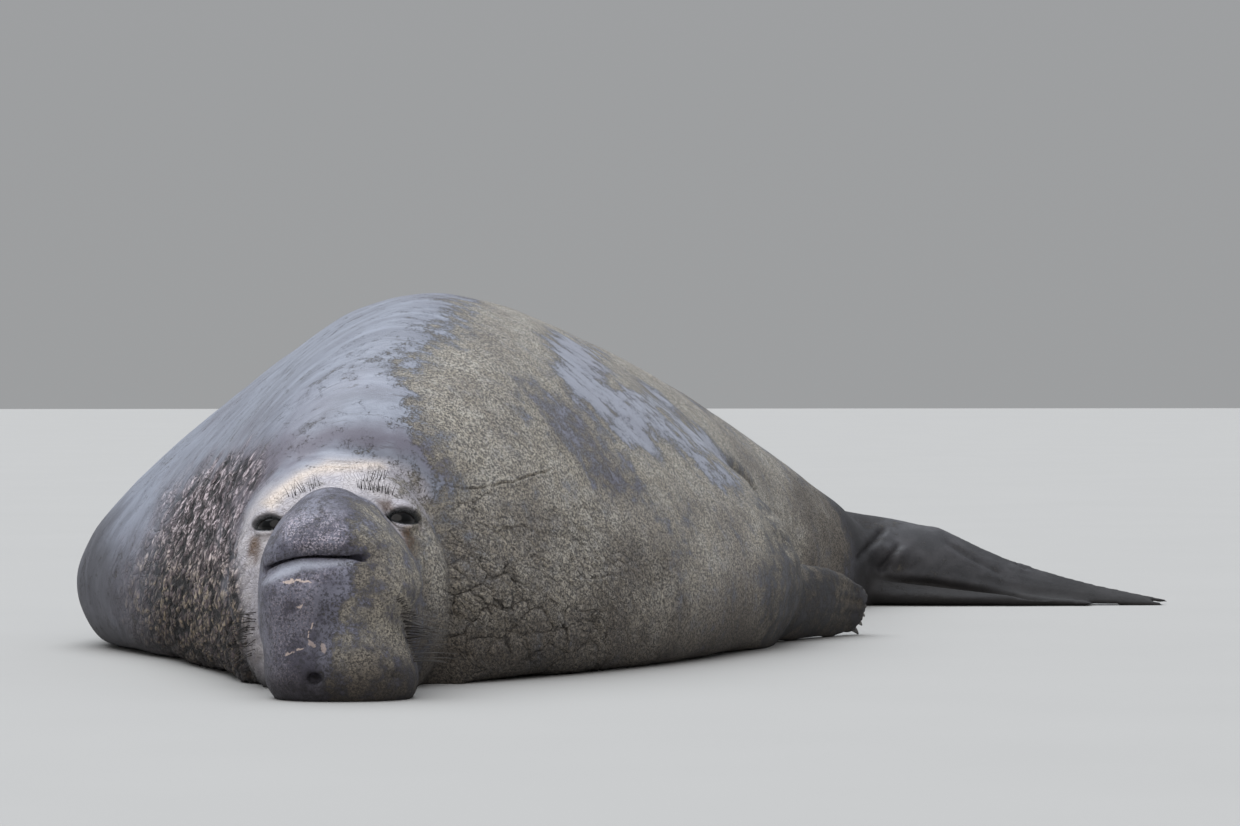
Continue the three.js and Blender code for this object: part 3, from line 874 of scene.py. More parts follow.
        # painted shadow in the fold lines and in the grooves between the flakes
        coat = nodes.mix(nodes.times(folds.outputs["Line"], 0.7), coat, self.groove_shadow)
        groove_shadow = nodes.math("SUBTRACT", nodes.value("shield"), flake, clamp=True)
        return nodes.mix(nodes.remap(groove_shadow, 0.3, 0.72, 0, 1.0), coat, self.groove_shadow)

    def face_coat(self, nodes: Nodes, grain: Grain) -> bpy.types.NodeSocket:
        """The colour of the pale face, with its cream brow."""
        coat = nodes.mix(nodes.remap(grain.middle, 0.38, 0.66, 0, 0.65), self.face, (0.35, 0.33, 0.37))
        coat = nodes.mix(nodes.value("cream"), coat, self.cream)
        return nodes.mix(nodes.remap(grain.fine, 0.52, 0.72, 0, 0.55), coat, (0.25, 0.22, 0.21))

    def trunk_coat(self, nodes: Nodes, grain: Grain) -> bpy.types.NodeSocket:
        """The colour of the dark trunk, with its pink specks."""
        coat = nodes.mix(nodes.remap(grain.middle, 0.4, 0.62), self.trunk, (0.17, 0.168, 0.215))
        coat = nodes.mix(nodes.remap(grain.fine, 0.52, 0.4, 0, 0.8), coat, (0.035, 0.032, 0.042))
        patchy = nodes.times(nodes.remap(grain.middle, 0.36, 0.56, 0.25, 1), nodes.value("speckle"))
        return nodes.mix(nodes.times(nodes.remap(grain.speck, 0.48, 0.62), patchy), coat, (0.48, 0.42, 0.48))

    @staticmethod
    def relief(nodes: Nodes, grain: Grain, effects: Effects, folds: bpy.types.Node,
               sand: bpy.types.Node) -> bpy.types.NodeSocket:
        """The height of the nap, the fine folds and the sand.

        Args:
            nodes: The material's nodes.
            grain: The place and the shared noises.
            effects: The shared node groups.
            folds: The shield's net of folds.
            sand: The clinging sand.

        Returns:
            The height in metres.
        """
        nap = nodes.noise(nodes.stretched(grain.place, (420, 150, 300)), 1.0, 2, 0.6)
        flank = {"Vector": nodes.stretched(grain.place, (0.35, 0.5, 0.95), (0, -0.7, 0)), "Scale": 75.0,
                 "Width": 0.14}
        creased = nodes.group(effects.folds, flank)
        fine_net = nodes.group(effects.folds, {"Vector": grain.place, "Scale": 120.0, "Width": 0.2})
        height = nodes.times(nap, 0.0006)
        for rise, part, deep in ((folds.outputs["Height"], "shield", 0.0028),
                                 (creased.outputs["Height"], "cracked", 0.0024),
                                 (fine_net.outputs["Height"], "pale", 0.0013),
                                 (grain.speck, "trunk", 0.0022)):
            height = nodes.math("MULTIPLY_ADD", rise, nodes.times(nodes.value(part), deep), height)
        height = nodes.math("MULTIPLY_ADD", sand.outputs["Height"], 0.0022, height)
        return nodes.math("SUBTRACT", height, nodes.times(nodes.value("crack"), 0.0015))


@dataclass
class EyeOpening:
    """The lids of one eye, shaped in the plane that the eye faces."""

    side: Side
    head: HeadFrame
    out: float = 108.0
    back: float = 343.0
    up: float = 297.0
    radius: float = 37.0
    half_width: float = 36.0
    upper: float = 13.5
    lower: float = 9.0
    peak: float = -5.0
    tilt: float = math.radians(7)

    def __post_init__(self) -> None:
        """Works out the eye's directions."""
        middle = self.head.place(self.side.value * self.out, self.back, self.up)
        ahead = self.head.place(self.side.value * (self.out + 0.5), self.back - 0.84, self.up + 0.2)
        self.middle = middle
        self.facing = (ahead - middle) / np.linalg.norm(ahead - middle)
        across = np.cross((0, 0, 1), self.facing) * self.side.value
        across /= np.linalg.norm(across)
        rise = np.cross(self.facing, across) * self.side.value
        self.across = across * math.cos(self.tilt) - rise * math.sin(self.tilt)
        self.rise = rise * math.cos(self.tilt) + across * math.sin(self.tilt)

    def rim(self, points: np.ndarray) -> tuple[np.ndarray, ...]:
        """Where points lie against the lids' edge.

        Args:
            points: Points in mm, one to a row.

        Returns:
            The distance outside the edge, below zero inside the opening, the place across and up, and
            the distance ahead of the eye's middle.
        """
        away = points - self.middle
        across, rise, ahead = away @ self.across, away @ self.rise, away @ self.facing
        half = np.where(rise > 0, self.upper, self.lower)
        reach = self.half_width + np.where(across > self.peak, -self.peak, self.peak)
        share = np.clip(np.abs(across - self.peak) / reach, 0, 1)
        edge = half * (1 - share**1.9)
        upright = (np.abs(rise) - edge) / np.sqrt(1 + (half / reach * 1.9 * share) ** 2)
        sideways = np.hypot(np.maximum(np.abs(across) - self.half_width, 0), rise)
        return np.where(np.abs(across) > self.half_width, sideways, upright), across, rise, ahead

    def shape(self, surface: Surface) -> None:
        """Opens the lids round the eye and lays their folds."""
        outside, across, rise, ahead = self.rim(surface.points)
        away = surface.points - self.middle
        length = np.linalg.norm(away, axis=1)
        near = (length < 95) & (ahead > 0)
        upper = smooth_step(-4, 8, rise)
        ring = self.radius + 0.8 + (3.6 + 5.4 * upper) * smooth_step(-0.5, 4.0, outside)
        ring += 2.6 * bell(outside - 9, 5) * upper + 1.2 * bell(outside - 7, 3.5) * (1 - upper)
        ring -= 3.2 * bell(outside - 18, 3.0) * upper + 2.2 * bell(outside - 13, 2.6) * (1 - upper)
        ring += 2.6 * bell(outside - 25, 6) * upper + 1.4 * bell(outside - 20, 5) * (1 - upper)
        ring = np.where(outside < -1.0, self.radius - 6, ring)
        blend = near * smooth_step(32, 15, outside)
        target = self.middle + away / np.maximum(length, 1)[:, None] * ring[:, None]
        surface.points += blend[:, None] * (target - surface.points)


@dataclass(frozen=True)
class Fold:
    """A crease of the skin through points of the picture."""

    pixels: tuple[Pixel, ...]
    depth: float
    width: float
    lips: tuple[float, float] = (0.0, 0.0)
    pinch: float = 0.25
    fade: float = 0.2
    stray: float = 0.0


@dataclass
class Skin:
    """One skin over the head, trunk, body, tail and flippers."""

    head: HeadFrame
    view: Viewpoint
    voxel: float = 6.0
    body_faces: int = 40000
    head_faces: int = 52000
    rough_faces: int = 66000
    cloud: Cloud = field(default_factory=lambda: Cloud(5))
    shield: Region = field(default_factory=lambda: Region(
        [(262, 452), (210, 462), (165, 490), (128, 540), (110, 600), (125, 650), (200, 672), (262, 700),
         (262, 640), (244, 600), (246, 560), (234, 530), (242, 498), (262, 474)], 22))
    cracked: Region = field(default_factory=lambda: Region(
        [(455, 490), (560, 505), (640, 530), (670, 600), (655, 660), (600, 680), (450, 695), (430, 600),
         (440, 540)], 34))
    flesh: tuple[str, ...] = ("head", "lower_jaw", "proboscis", "neck", "chest", "torso", "hips", "tail",
                              "fore_flipper_left", "fore_flipper_right",
                              "hind_flipper_left", "hind_flipper_right")
    eyes: tuple[str, ...] = ("eye_left", "eye_right")
    surface: Surface = field(init=False)

    def build(self, nodes: dict[str, bpy.types.Object]) -> bpy.types.Object:
        """Makes the skin's shape.

        Args:
            nodes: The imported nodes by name.

        Returns:
            The skin.
        """
        self.gather(nodes)
        self.even_out()
        self.lay_creases()
        self.roughen()
        self.reduce()
        for side in Side:
            lids = EyeOpening(side, self.head)
            away = np.linalg.norm(self.surface.points - lids.middle, axis=1)
            self.surface.refine(away < 74)
            outside = lids.rim(self.surface.points)[0]
            away = np.linalg.norm(self.surface.points - lids.middle, axis=1)
            self.surface.refine((np.abs(outside) < 11) & (away < 60))
            lids.shape(self.surface)
        self.settle()
        Coat(self).mark()
        take(self.surface.target)
        bpy.ops.object.shade_smooth()
        return self.surface.target

    def gather(self, nodes: dict[str, bpy.types.Object]) -> None:
        """Joins copies of the flesh, with the eyes as filling, into one closed surface."""
        copies = []
        for name in self.flesh + self.eyes:
            copy = nodes[name].copy()
            copy.data = nodes[name].data.copy()
            copy.parent = None
            bpy.context.scene.collection.objects.link(copy)
            copies.append(copy)
        deselect_all()
        for copy in copies:
            copy.select_set(True)
        bpy.context.view_layer.objects.active = copies[0]
        bpy.ops.object.join()
        joined = bpy.context.view_layer.objects.active
        for key in list(joined.keys()):
            del joined[key]
        joined.name = joined.data.name = "skin"
        joined.data.materials.clear()
        bpy.ops.object.mode_set(mode="EDIT")
        bpy.ops.mesh.select_all(action="SELECT")
        bpy.ops.mesh.remove_doubles(threshold=0.00002)
        bpy.ops.object.mode_set(mode="OBJECT")
        remesh = joined.modifiers.new("Remesh", "REMESH")
        remesh.mode = "VOXEL"
        remesh.voxel_size = self.voxel * MM
        bpy.ops.object.modifier_apply(modifier=remesh.name)
        self.surface = Surface(joined)
        LOG.info("skin: %d points after the remesh", len(self.surface.points))

    def nearness(self) -> dict[str, np.ndarray]:
        """How much each point belongs to the head, the trunk and the flippers, from 0 to 1."""
        points = self.surface.points
        local = self.head.local(points)
        site = points - self.head.nose
        head = smooth_step(560, 460, local[:, 1]) * smooth_step(270, 215, np.abs(local[:, 0]))
        trunk = smooth_step(330, 290, local[:, 1]) * smooth_step(185, 165, np.abs(local[:, 0]))
        fore = smooth_step(830, 900, site[:, 0]) * smooth_step(2100, 2000, site[:, 1])
        far = smooth_step(-300, -380, site[:, 0]) * smooth_step(1640, 1720, site[:, 1])
        hind = smooth_step(1120, 1200, site[:, 0]) * smooth_step(2900, 2960, site[:, 1])
        return {"head": head, "trunk": trunk, "fore": np.maximum(fore * (1 - hind), far), "hind": hind}

    def even_out(self) -> None:
        """Takes the facets off the body, and a little off the head and flippers."""
        parts = self.nearness()
        small = np.maximum(parts["head"], np.maximum(parts["fore"], parts["hind"]))
        body = 1 - small
        rounds = 110
        seen = self.view.seen(self.surface.points * MM)
        rump = Region([(846, 500), (925, 508), (936, 566), (900, 584), (846, 580)], 12).cover(seen)
        rump *= smooth_step(2500, 2700, (self.surface.points - self.head.nose)[:, 1])
        self.surface.relax(np.maximum(body, rump), rounds, 0.6)
        self.surface.relax(np.maximum(body, 0.55 * small), 8)
        for side in Side:
            for number in range(1, 6):
                corners = np.array(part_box(f"claw_{side.word}_{number}")) / MM
                self.surface.push(corners.mean(axis=0), (25, 25, 19), 15)
        self.surface.refine((self.head.local(self.surface.points)[:, 1] < 520) & (parts["head"] > 0))
        local = self.head.local(self.surface.points)
        self.surface.relax(smooth_step(600, 500, local[:, 1]), 6)

    def lay_creases(self) -> None:
        """Presses in the trunk's crease, the nostrils and the body's folds."""
        sight = Sight(self.view, self.surface)
        laid = []
        for fold in FOLDS:
            path = sight.path(*fold.pixels, step=3.0)
            laid.append((path + fold.stray * self.cloud.spread(path, 22, (0, 200, 400)), fold))
        pits = [(sight.spot(pixel), reach) for pixel, reach in NOSTRILS]
        for reach in (26, 13):
            beside = np.zeros(len(self.surface.points), bool)
            for path, fold in laid:
                if fold.width < 8:
                    beside[self.surface.near(path, reach)[0]] = True
            self.surface.refine(beside)
        for path, fold in laid:
            self.surface.crease(path, fold.depth, fold.width, fold.lips, fold.pinch, fold.fade)
        for spot, reach in pits:
            self.surface.push(spot, tuple(1.6 * each for each in reach), 2.0)
            self.surface.push(spot, reach, -8)

    def rough_parts(self) -> tuple[np.ndarray, np.ndarray]:
        """How much each point belongs to the chest's rough shield and to the cracked flank, from 0 to 1."""
        seen = self.view.seen(self.surface.points * MM)
        site = self.surface.points - self.head.nose
        on = np.flatnonzero((seen[:, 0] > 60) & (seen[:, 0] < 740) & (seen[:, 1] > 410) & (site[:, 1] < 1900))
        points, seen, site = self.surface.points[on], seen[on], site[on]
        sway = self.cloud.spread(points, 60, (0, 500)) + 0.5 * self.cloud.spread(points, 22, (0, 300))
        local = self.head.local(points)
        behind = smooth_step(285, 305, local[:, 1]) + smooth_step(170, 180, np.abs(local[:, 0]))
        behind = np.clip(behind, 0, 1)
        shield, cracked = np.zeros((2, len(self.surface.points)))
        shield[on] = self.shield.cover(seen + 14 * sway) * smooth_step(1500, 1000, site[:, 1]) * behind
        cracked[on] = self.cracked.cover(seen + 16 * sway) * smooth_step(1900, 1500, site[:, 1]) * behind
        return shield, cracked

    @staticmethod
    def slanted(points: np.ndarray, degrees: float) -> np.ndarray:
        """The points turned about the Y axis, so that a pattern can run aslant."""
        cos, sin = math.cos(math.radians(degrees)), math.sin(math.radians(degrees))
        x, y, z = points.T
        return np.stack([x * cos + z * sin, y, z * cos - x * sin], axis=1)

    def pattern(self, shield: np.ndarray, cracked: np.ndarray) -> tuple[np.ndarray, np.ndarray, np.ndarray]:
        """The nets of folds on the rough parts.

        Args:
            shield: How much each point belongs to the shield.
            cracked: How much each point belongs to the cracked flank.

        Returns:
            How far each point of the shield stands above its grooves, the depth of the flank's cracks and
            the fine wrinkles between them, each from 0 to 1 and only where that part is.
        """
        points = self.surface.points
        flakes, cracks, wrinkles = np.zeros((3, len(points)))
        on = np.flatnonzero(shield > 0.02)
        spots = self.slanted(points[on] + 8 * self.cloud.spread(points[on], 34, (0, 90, 180)), 52)
        large = smooth_step(0.02, 0.38, Cells(21).at(spots, (66, 30, 27)))
        small = smooth_step(0.02, 0.45, Cells(31).at(spots, (34, 16, 14)))
        flakes[on] = (0.65 * large + 0.35 * small) * shield[on]
        on = np.flatnonzero(cracked > 0.02)
        spots = points[on] + 16 * self.cloud.spread(points[on], 55, (0, 90, 180))
        spots += 5 * self.cloud.spread(points[on], 16, (20, 110, 200))
        shown = smooth_step(-0.3, 0.3, self.cloud.at(points[on], 90))
        cracks[on] = smooth_step(0.075, 0.0, Cells(41).at(spots, (52, 96, 44))) * shown * cracked[on]
        slanted = self.slanted(spots, -38)
        wrinkles[on] = smooth_step(0.22, 0.0, Cells(51).at(slanted, (52, 40, 15))) * cracked[on]
        return flakes, cracks, wrinkles

    def roughen(self) -> None:
        """Raises the shield's flakes, and sinks the flank's cracks and wrinkles."""
        surface = self.surface
        shield, cracked = self.rough_parts()
        near = (surface.points - self.head.nose)[:, 1] < 1700
        surface.refine((np.maximum(shield, cracked) > 0.1) & near)
        surface.refine(self.pattern(*self.rough_parts())[1] > 0.2)
        shield, cracked = self.rough_parts()
        flakes, cracks, wrinkles = self.pattern(shield, cracked)
        height = 7.5 * (flakes - 0.6 * shield) - 5.0 * cracks - 1.6 * wrinkles
        uneven = self.cloud.at(surface.points, 130) * 3.0 + self.cloud.at(surface.points, 48) * 1.2
        body = smooth_step(480, 640, self.head.local(surface.points)[:, 1]) * (1 - self.nearness()["hind"])
        surface.points += (height + uneven * body)[:, None] * surface.normals()

    def reduce(self) -> None:
        """Leaves fewer faces where the surface is plain."""
        surface = self.surface
        shield, cracked = self.rough_parts()
        rough = np.maximum(shield, cracked) > 0.15
        surface.thin(rough, min(1.0, self.rough_faces / (rough.sum() * 2)))
        local = self.head.local(surface.points)
        front = (local[:, 1] < 500) & (np.abs(local[:, 0]) < 260)
        surface.thin(front & ~self.is_rough(), min(1.0, self.head_faces / (front.sum() * 2)))
        local = self.head.local(surface.points)
        rest = ((local[:, 1] >= 505) | (np.abs(local[:, 0]) >= 265)) & ~self.is_rough()
        surface.thin(rest, min(1.0, self.body_faces / (rest.sum() * 2)))
        LOG.info("skin: %d points after thinning", len(surface.points))

    def is_rough(self) -> np.ndarray:
        """Whether each point lies on a rough part."""
        return np.maximum(*self.rough_parts()) > 0.1

    def settle(self) -> None:
        """Rests the skin flat on the ground."""
        points = self.surface.points
        points[:, 2] = np.where(points[:, 2] < 2.5, 0, points[:, 2])
        self.surface.write()


class Coat:
    """The regions of the coat, and the painted shade and highlights, which the skin's mesh keeps as values
    for the hide's material.
    """

    def __init__(self, skin: Skin) -> None:
        """Works out where the skin's points lie, in the picture and on the animal."""
        self.skin, self.surface, self.cloud = skin, skin.surface, skin.cloud
        points = skin.surface.points
        self.points, self.up = points, points[:, 2]
        self.seen = skin.view.seen(points * MM)
        broad, self.sway, crumb = (self.cloud.spread(points, size, (shift, 500 + shift))
                                   for shift, size in ((70, 170), (0, 60), (30, 20)))
        self.rough = self.seen + 7 * self.sway + 5 * crumb
        self.ragged = self.seen + 16 * broad + 13 * self.sway + 8 * crumb
        out, back, _ = skin.head.local(points).T
        aside, along, _ = (points - skin.head.nose).T
        self.close = smooth_step(520, 470, back) * smooth_step(320, 270, np.abs(out))
        self.trunk = smooth_step(296, 282, back) * smooth_step(172, 160, np.abs(out))
        self.body = 1 - self.trunk
        self.hind = smooth_step(1120, 1240, aside) * smooth_step(2850, 2960, along)
        self.fore = smooth_step(835, 885, aside) * (1 - smooth_step(2100, 2300, along))
        self.bare = within(
            self.ragged, 15,
            [(552, 342), (596, 352), (622, 396), (608, 416), (566, 396)],
            [(600, 394), (664, 398), (684, 450), (640, 452), (606, 428)],
            [(668, 414), (708, 434), (732, 480), (700, 486), (672, 452)])
        self.bare *= smooth_step(0.25, 0.05, skin.surface.normals()[:, 1])
        self.dim = within(
            self.ragged, 20,
            [(500, 370), (540, 380), (585, 425), (620, 480), (600, 492), (555, 440), (520, 415)],
            [(588, 455), (632, 466), (650, 500), (600, 498)],
            [(655, 505), (690, 520), (700, 580), (670, 570)])
        self.pale = self.close * self.body * within(
            self.seen + 4 * self.sway, 8,
            [(238, 545), (247, 510), (266, 488), (294, 470), (325, 458), (383, 461), (406, 468), (424, 480),
             (432, 500), (430, 520), (420, 540), (408, 552), (400, 600), (396, 650), (300, 690), (262, 680),
             (244, 640), (240, 600)])

    def mark(self) -> None:
        """Keeps all the regions."""
        self.mark_sand()
        self.mark_rough()
        self.mark_face()
        self.mark_trunk()
        self.mark_damp_and_shadow()
        self.mark_shade()
        self.mark_lids()

    def mark_sand(self) -> None:
        """Marks where sand clings, on the animal's left and on the same side of its face."""
        body = within(
            self.ragged, 38,
            [(496, 250), (462, 304), (440, 336), (408, 370), (404, 425), (428, 446), (446, 466), (448, 484),
             (424, 496), (412, 520), (406, 545), (395, 570), (390, 720), (850, 720), (868, 600), (880, 520),
             (850, 480), (700, 380), (560, 250)])
        trunk = within(
            self.rough, 17,
            [(356, 480), (354, 530), (360, 552), (344, 566), (334, 600), (331, 640), (326, 712), (450, 712),
             (450, 590), (410, 520), (380, 480)])
        face = within(
            self.rough, 16,
            [(366, 462), (420, 466), (445, 500), (440, 570), (405, 570), (398, 540), (404, 505), (380, 490)])
        sand = np.max([body * self.body, 0.66 * trunk * self.trunk, 0.42 * face * self.close], axis=0)
        sand *= 1 - np.maximum(0.9 * self.bare, 0.42 * self.dim)
        sand *= (1 - 0.95 * self.hind) * (1 - 0.4 * self.fore)
        self.surface.attribute("sand", 0.1 + 0.82 * sand)

    def mark_rough(self) -> None:
        """Marks the shield and the cracked flank, the dark folds and patches beside them, and the darker
        flippers, partly painted shade on the fore flipper.
        """
        shield, cracked = self.skin.rough_parts()
        flakes, cracks, wrinkles = self.skin.pattern(shield, cracked)
        self.surface.attribute("shield", shield)
        self.surface.attribute("flake", flakes)
        self.surface.attribute("crack", np.maximum(cracks, 0.4 * wrinkles))
        self.surface.attribute("cracked", cracked)
        plum = within(
            self.rough, 11,
            [(236, 540), (246, 500), (266, 478), (296, 460), (330, 447), (384, 448), (412, 456), (440, 476),
             (448, 488), (450, 462), (420, 438), (380, 425), (330, 424), (280, 440), (240, 460), (222, 500)])
        self.surface.attribute("plum", np.maximum(plum * self.body, 0.6 * self.dim))
        # darker flippers: the hind flippers' own dark skin, partly painted shade on the fore flipper
        self.surface.attribute("dark", np.maximum(self.hind, 0.75 * self.fore))

    def mark_face(self) -> None:
        """Marks the pale face, its cream brow and the brown stains below the eyes."""
        self.surface.attribute("pale", self.pale)
        brow = within(
            self.seen, 6,
            [(262, 503), (272, 492), (300, 470), (330, 460), (380, 461), (386, 468), (350, 470), (312, 475),
             (285, 495), (272, 510)])
        corner = within(self.seen, 3, [(404, 527), (424, 524), (426, 532), (408, 536)])
        self.surface.attribute("cream", np.maximum(brow, corner) * self.close * self.body * 0.8)
        tear = within(
            self.seen, 4,
            [(400, 530), (410, 528), (422, 548), (416, 560), (404, 548)],
            [(250, 536), (260, 536), (262, 552), (254, 566), (248, 555)])
        faint = within(self.seen, 4, [(376, 500), (390, 500), (396, 512), (384, 512)])
        self.surface.attribute("tear", np.maximum(tear, 0.7 * faint) * self.close * self.body)

    def mark_trunk(self) -> None:
        """Marks the trunk and its pink specks, the painted highlight on the trunk's lip, and the painted
        sheen on the brightest patches of the back.
        """
        self.surface.attribute("trunk", self.trunk)
        high = within(self.rough, 8, [(290, 515), (345, 512), (350, 540), (330, 552), (300, 553), (280, 540)])
        low = within(self.rough, 10, [(266, 570), (350, 560), (320, 585), (300, 640), (296, 690), (268, 690)])
        self.surface.attribute("speckle", self.trunk * np.maximum(high, 0.45 * low))
        # painted highlight along the top of the lower lobe, below the trunk's crease, and painted sheen on
        # the bare patches
        lip = within(
            self.seen + 2 * self.sway, 4,
            [(263, 584), (280, 566), (301, 560), (352, 562), (352, 566), (303, 568), (282, 576)])
        self.surface.attribute("painted_highlight", np.maximum(0.9 * lip * self.trunk, 0.5 * self.bare * self.body))

    def mark_damp_and_shadow(self) -> None:
        """Marks the dark edge on the ground, partly wet and partly painted shade, and the painted shadow in
        the crease over the lip, in the nostrils and in the flippers' gap.
        """
        # darker towards the ground: partly wet, partly painted shade where the body meets the floor
        damp = smooth_step(80, 5, self.up) * (0.65 + 0.35 * self.cloud.at(self.points, 90))
        # painted shadow under the trunk's upper lobe, over the crease
        over = within(
            self.seen, 6,
            [(266, 572), (284, 553), (305, 546), (345, 546), (376, 556), (345, 557), (301, 557)])
        # painted shade inside the nostrils
        pits = np.zeros(len(self.points))
        for pixel, reach in NOSTRILS:
            off = np.linalg.norm((self.seen - np.array(pixel)) / (0.24 * reach[0], 0.17 * reach[2]), axis=1)
            pits = np.maximum(pits, smooth_step(1.5, 0.4, off + 0.3 * self.sway[:, 0]))
        # painted shadow in the gap between the hind flippers
        gap = within(
            self.seen, 4,
            [(850, 568), (900, 577), (960, 584), (1052, 599), (1052, 603), (960, 592), (900, 588),
             (850, 588)])
        self.surface.attribute("damp", np.max([damp * (1 - 0.5 * self.trunk), 0.55 * over * self.trunk,
                                               0.8 * pits * self.trunk, 0.85 * gap * self.hind], axis=0))

    def mark_shade(self) -> None:
        """Marks the darkened hide: painted shade low down, on the far left edge, which is turned from the
        light, low on the trunk and low on the fore flipper; and darker at the rear, on a band behind the fore
        flipper and on the trunk's lower left.
        """
        # painted shade, darker towards the ground
        low = smooth_step(230, 20, self.up + 50 * self.cloud.at(self.points, 150))
        left = within(self.ragged, 36, [(30, 470), (112, 500), (134, 560), (142, 690), (30, 690)])
        rear = within(self.ragged, 34, [(790, 470), (880, 470), (900, 640), (770, 640), (800, 560)])
        fore = within(self.ragged, 30, [(622, 550), (660, 550), (672, 670), (612, 670)])
        trunk = within(self.rough, 14, [(262, 592), (332, 592), (328, 700), (262, 700)])
        # painted shade low down, at the far left and low on the trunk and fore flipper; the rear, the band
        # behind the fore flipper and the trunk's lower left are darker
        self.surface.attribute("shade", np.max([
            0.85 * low * self.body * (1 - self.pale), 0.95 * smooth_step(130, 20, self.up) * self.trunk,
            0.9 * left, 0.85 * rear, 0.5 * fore, 0.5 * trunk * self.trunk,
            0.7 * self.fore * smooth_step(170, 60, self.up)], axis=0))

    def mark_lids(self) -> None:
        """Marks the lids' dark edges and the painted shadow on the upper lids."""
        lid_edge_and_shadow = np.zeros(len(self.points))
        for side in Side:
            opening = EyeOpening(side, self.skin.head)
            outside, _, rise, _ = opening.rim(self.points)
            near = np.linalg.norm(self.points - opening.middle, axis=1) < 60
            lid_edge_and_shadow = np.maximum(lid_edge_and_shadow, near * smooth_step(3.4, 1.2, outside))
            # painted shadow under the hood of the upper lids
            lid_edge_and_shadow = np.maximum(lid_edge_and_shadow, 0.85 * near * smooth_step(12, 3, outside) * smooth_step(-2, 5, rise))
        self.surface.attribute("lid_edge_and_shadow", lid_edge_and_shadow)


@dataclass(frozen=True)
class EyeFinish:
    """A wet, nearly black eye with a brown iris."""

    iris: Colour = (0.012, 0.010, 0.010)
    white: Colour = (0.03, 0.026, 0.026)

    def build(self) -> bpy.types.Material:
        """Makes the material. It reads how far a point is from the middle of the gaze."""
        material, nodes, shader = new_material("Wet eye")
        off = nodes.value("gaze")
        place = nodes.add("TexCoord").outputs["Object"]
        fibre = nodes.noise(place, 260, 3, 0.7)
        iris = nodes.mix(fibre, (0.006, 0.005, 0.005), self.iris)
        colour = nodes.mix(nodes.remap(off, 0.26, 0.3), (0.002, 0.002, 0.002), iris)
        colour = nodes.mix(nodes.remap(off, 0.6, 0.7), colour, self.white)
        gloss = nodes.remap(fibre, 0.2, 0.8, 0.07, 0.14)
        nodes.feed(shader, {"Base Color": colour, "Roughness": gloss, "Specular IOR Level": 0.14,
                            "Coat Weight": 0.08, "Coat Roughness": 0.03})
        return material


@dataclass
class Eyeball:
    """One eye, a ball with a slightly raised cornea."""

    side: Side
    head: HeadFrame
    radius: float = 36.8

    def build(self) -> bpy.types.Object:
        """Makes the eye's shape.

        Returns:
            The eye, which carries the value gaze.
        """
        lids = EyeOpening(self.side, self.head)
        deselect_all()
        bpy.ops.mesh.primitive_uv_sphere_add(segments=48, ring_count=32, radius=self.radius * MM,
                                             location=tuple(lids.middle * MM))
        ball = bpy.context.view_layer.objects.active
        ball.rotation_euler = Vector(lids.facing).to_track_quat("Z", "Y").to_euler()
        bpy.ops.object.transform_apply(location=True, rotation=True, scale=True)
        ball.name = ball.data.name = f"eyeball_{self.side.word}"
        surface = Surface(ball)
        away = surface.points - lids.middle
        cosine = away @ lids.facing / np.linalg.norm(away, axis=1)
        angle = np.arccos(np.clip(cosine, -1, 1))
        surface.points += (2.0 * smooth_step(0.62, 0.0, angle))[:, None] * away / self.radius
        surface.write()
        surface.attribute("gaze", angle)
        bpy.ops.object.shade_smooth()
        return ball


@dataclass(frozen=True)
class HornFinish:
    """Dark worn horn, for the claws."""

    dark: Colour = (0.02, 0.018, 0.02)
    light: Colour = (0.10, 0.095, 0.10)

    def build(self, effects: Effects) -> bpy.types.Material:
        """Makes the material, with a little sand on it."""
        material, nodes, shader = new_material("Claw horn")
        place = nodes.add("TexCoord").outputs["Object"]
        line = nodes.noise(nodes.stretched(place, (60, 60, 400)), 1.0, 3, 0.6)
        sand = nodes.group(effects.sand, {"Vector": place, "Amount": 0.35})
        colour = nodes.mix(nodes.remap(line, 0.35, 0.7), self.dark, self.light)
        colour = nodes.mix(nodes.times(sand.outputs["Cover"], 0.5), colour, sand.outputs["Colour"])
        bump = nodes.add("Bump", {"Height": nodes.times(line, 0.0006), "Distance": 1.0})
        nodes.feed(shader, {"Base Color": colour, "Roughness": nodes.remap(line, 0.2, 0.8, 0.3, 0.5),
                            "Normal": bump.outputs[0]})
        return material


@dataclass(frozen=True)
class HairFinish:
    """Stiff dark hair, a little lighter in places."""

    dark: Colour = (0.006, 0.005, 0.005)
    light: Colour = (0.05, 0.04, 0.034)

    def build(self) -> bpy.types.Material:
        """Makes the material."""
        material, nodes, shader = new_material("Whisker hair")
        place = nodes.add("TexCoord").outputs["Object"]
        shade = nodes.noise(place, 40, 2, 0.5)
        nodes.feed(shader, {"Base Color": nodes.mix(shade, self.dark, self.light),
                            "Roughness": nodes.remap(shade, 0.2, 0.8, 0.3, 0.45)})
        return material


@dataclass(frozen=True)
class Tuft:
    """Some hairs that grow between two points of the picture and lean the same way."""

    start: Pixel
    end: Pixel
    count: int
    lean: Pixel
    length: float
    curl: float
    stand: float = 0.45
    thick: float = 1.1


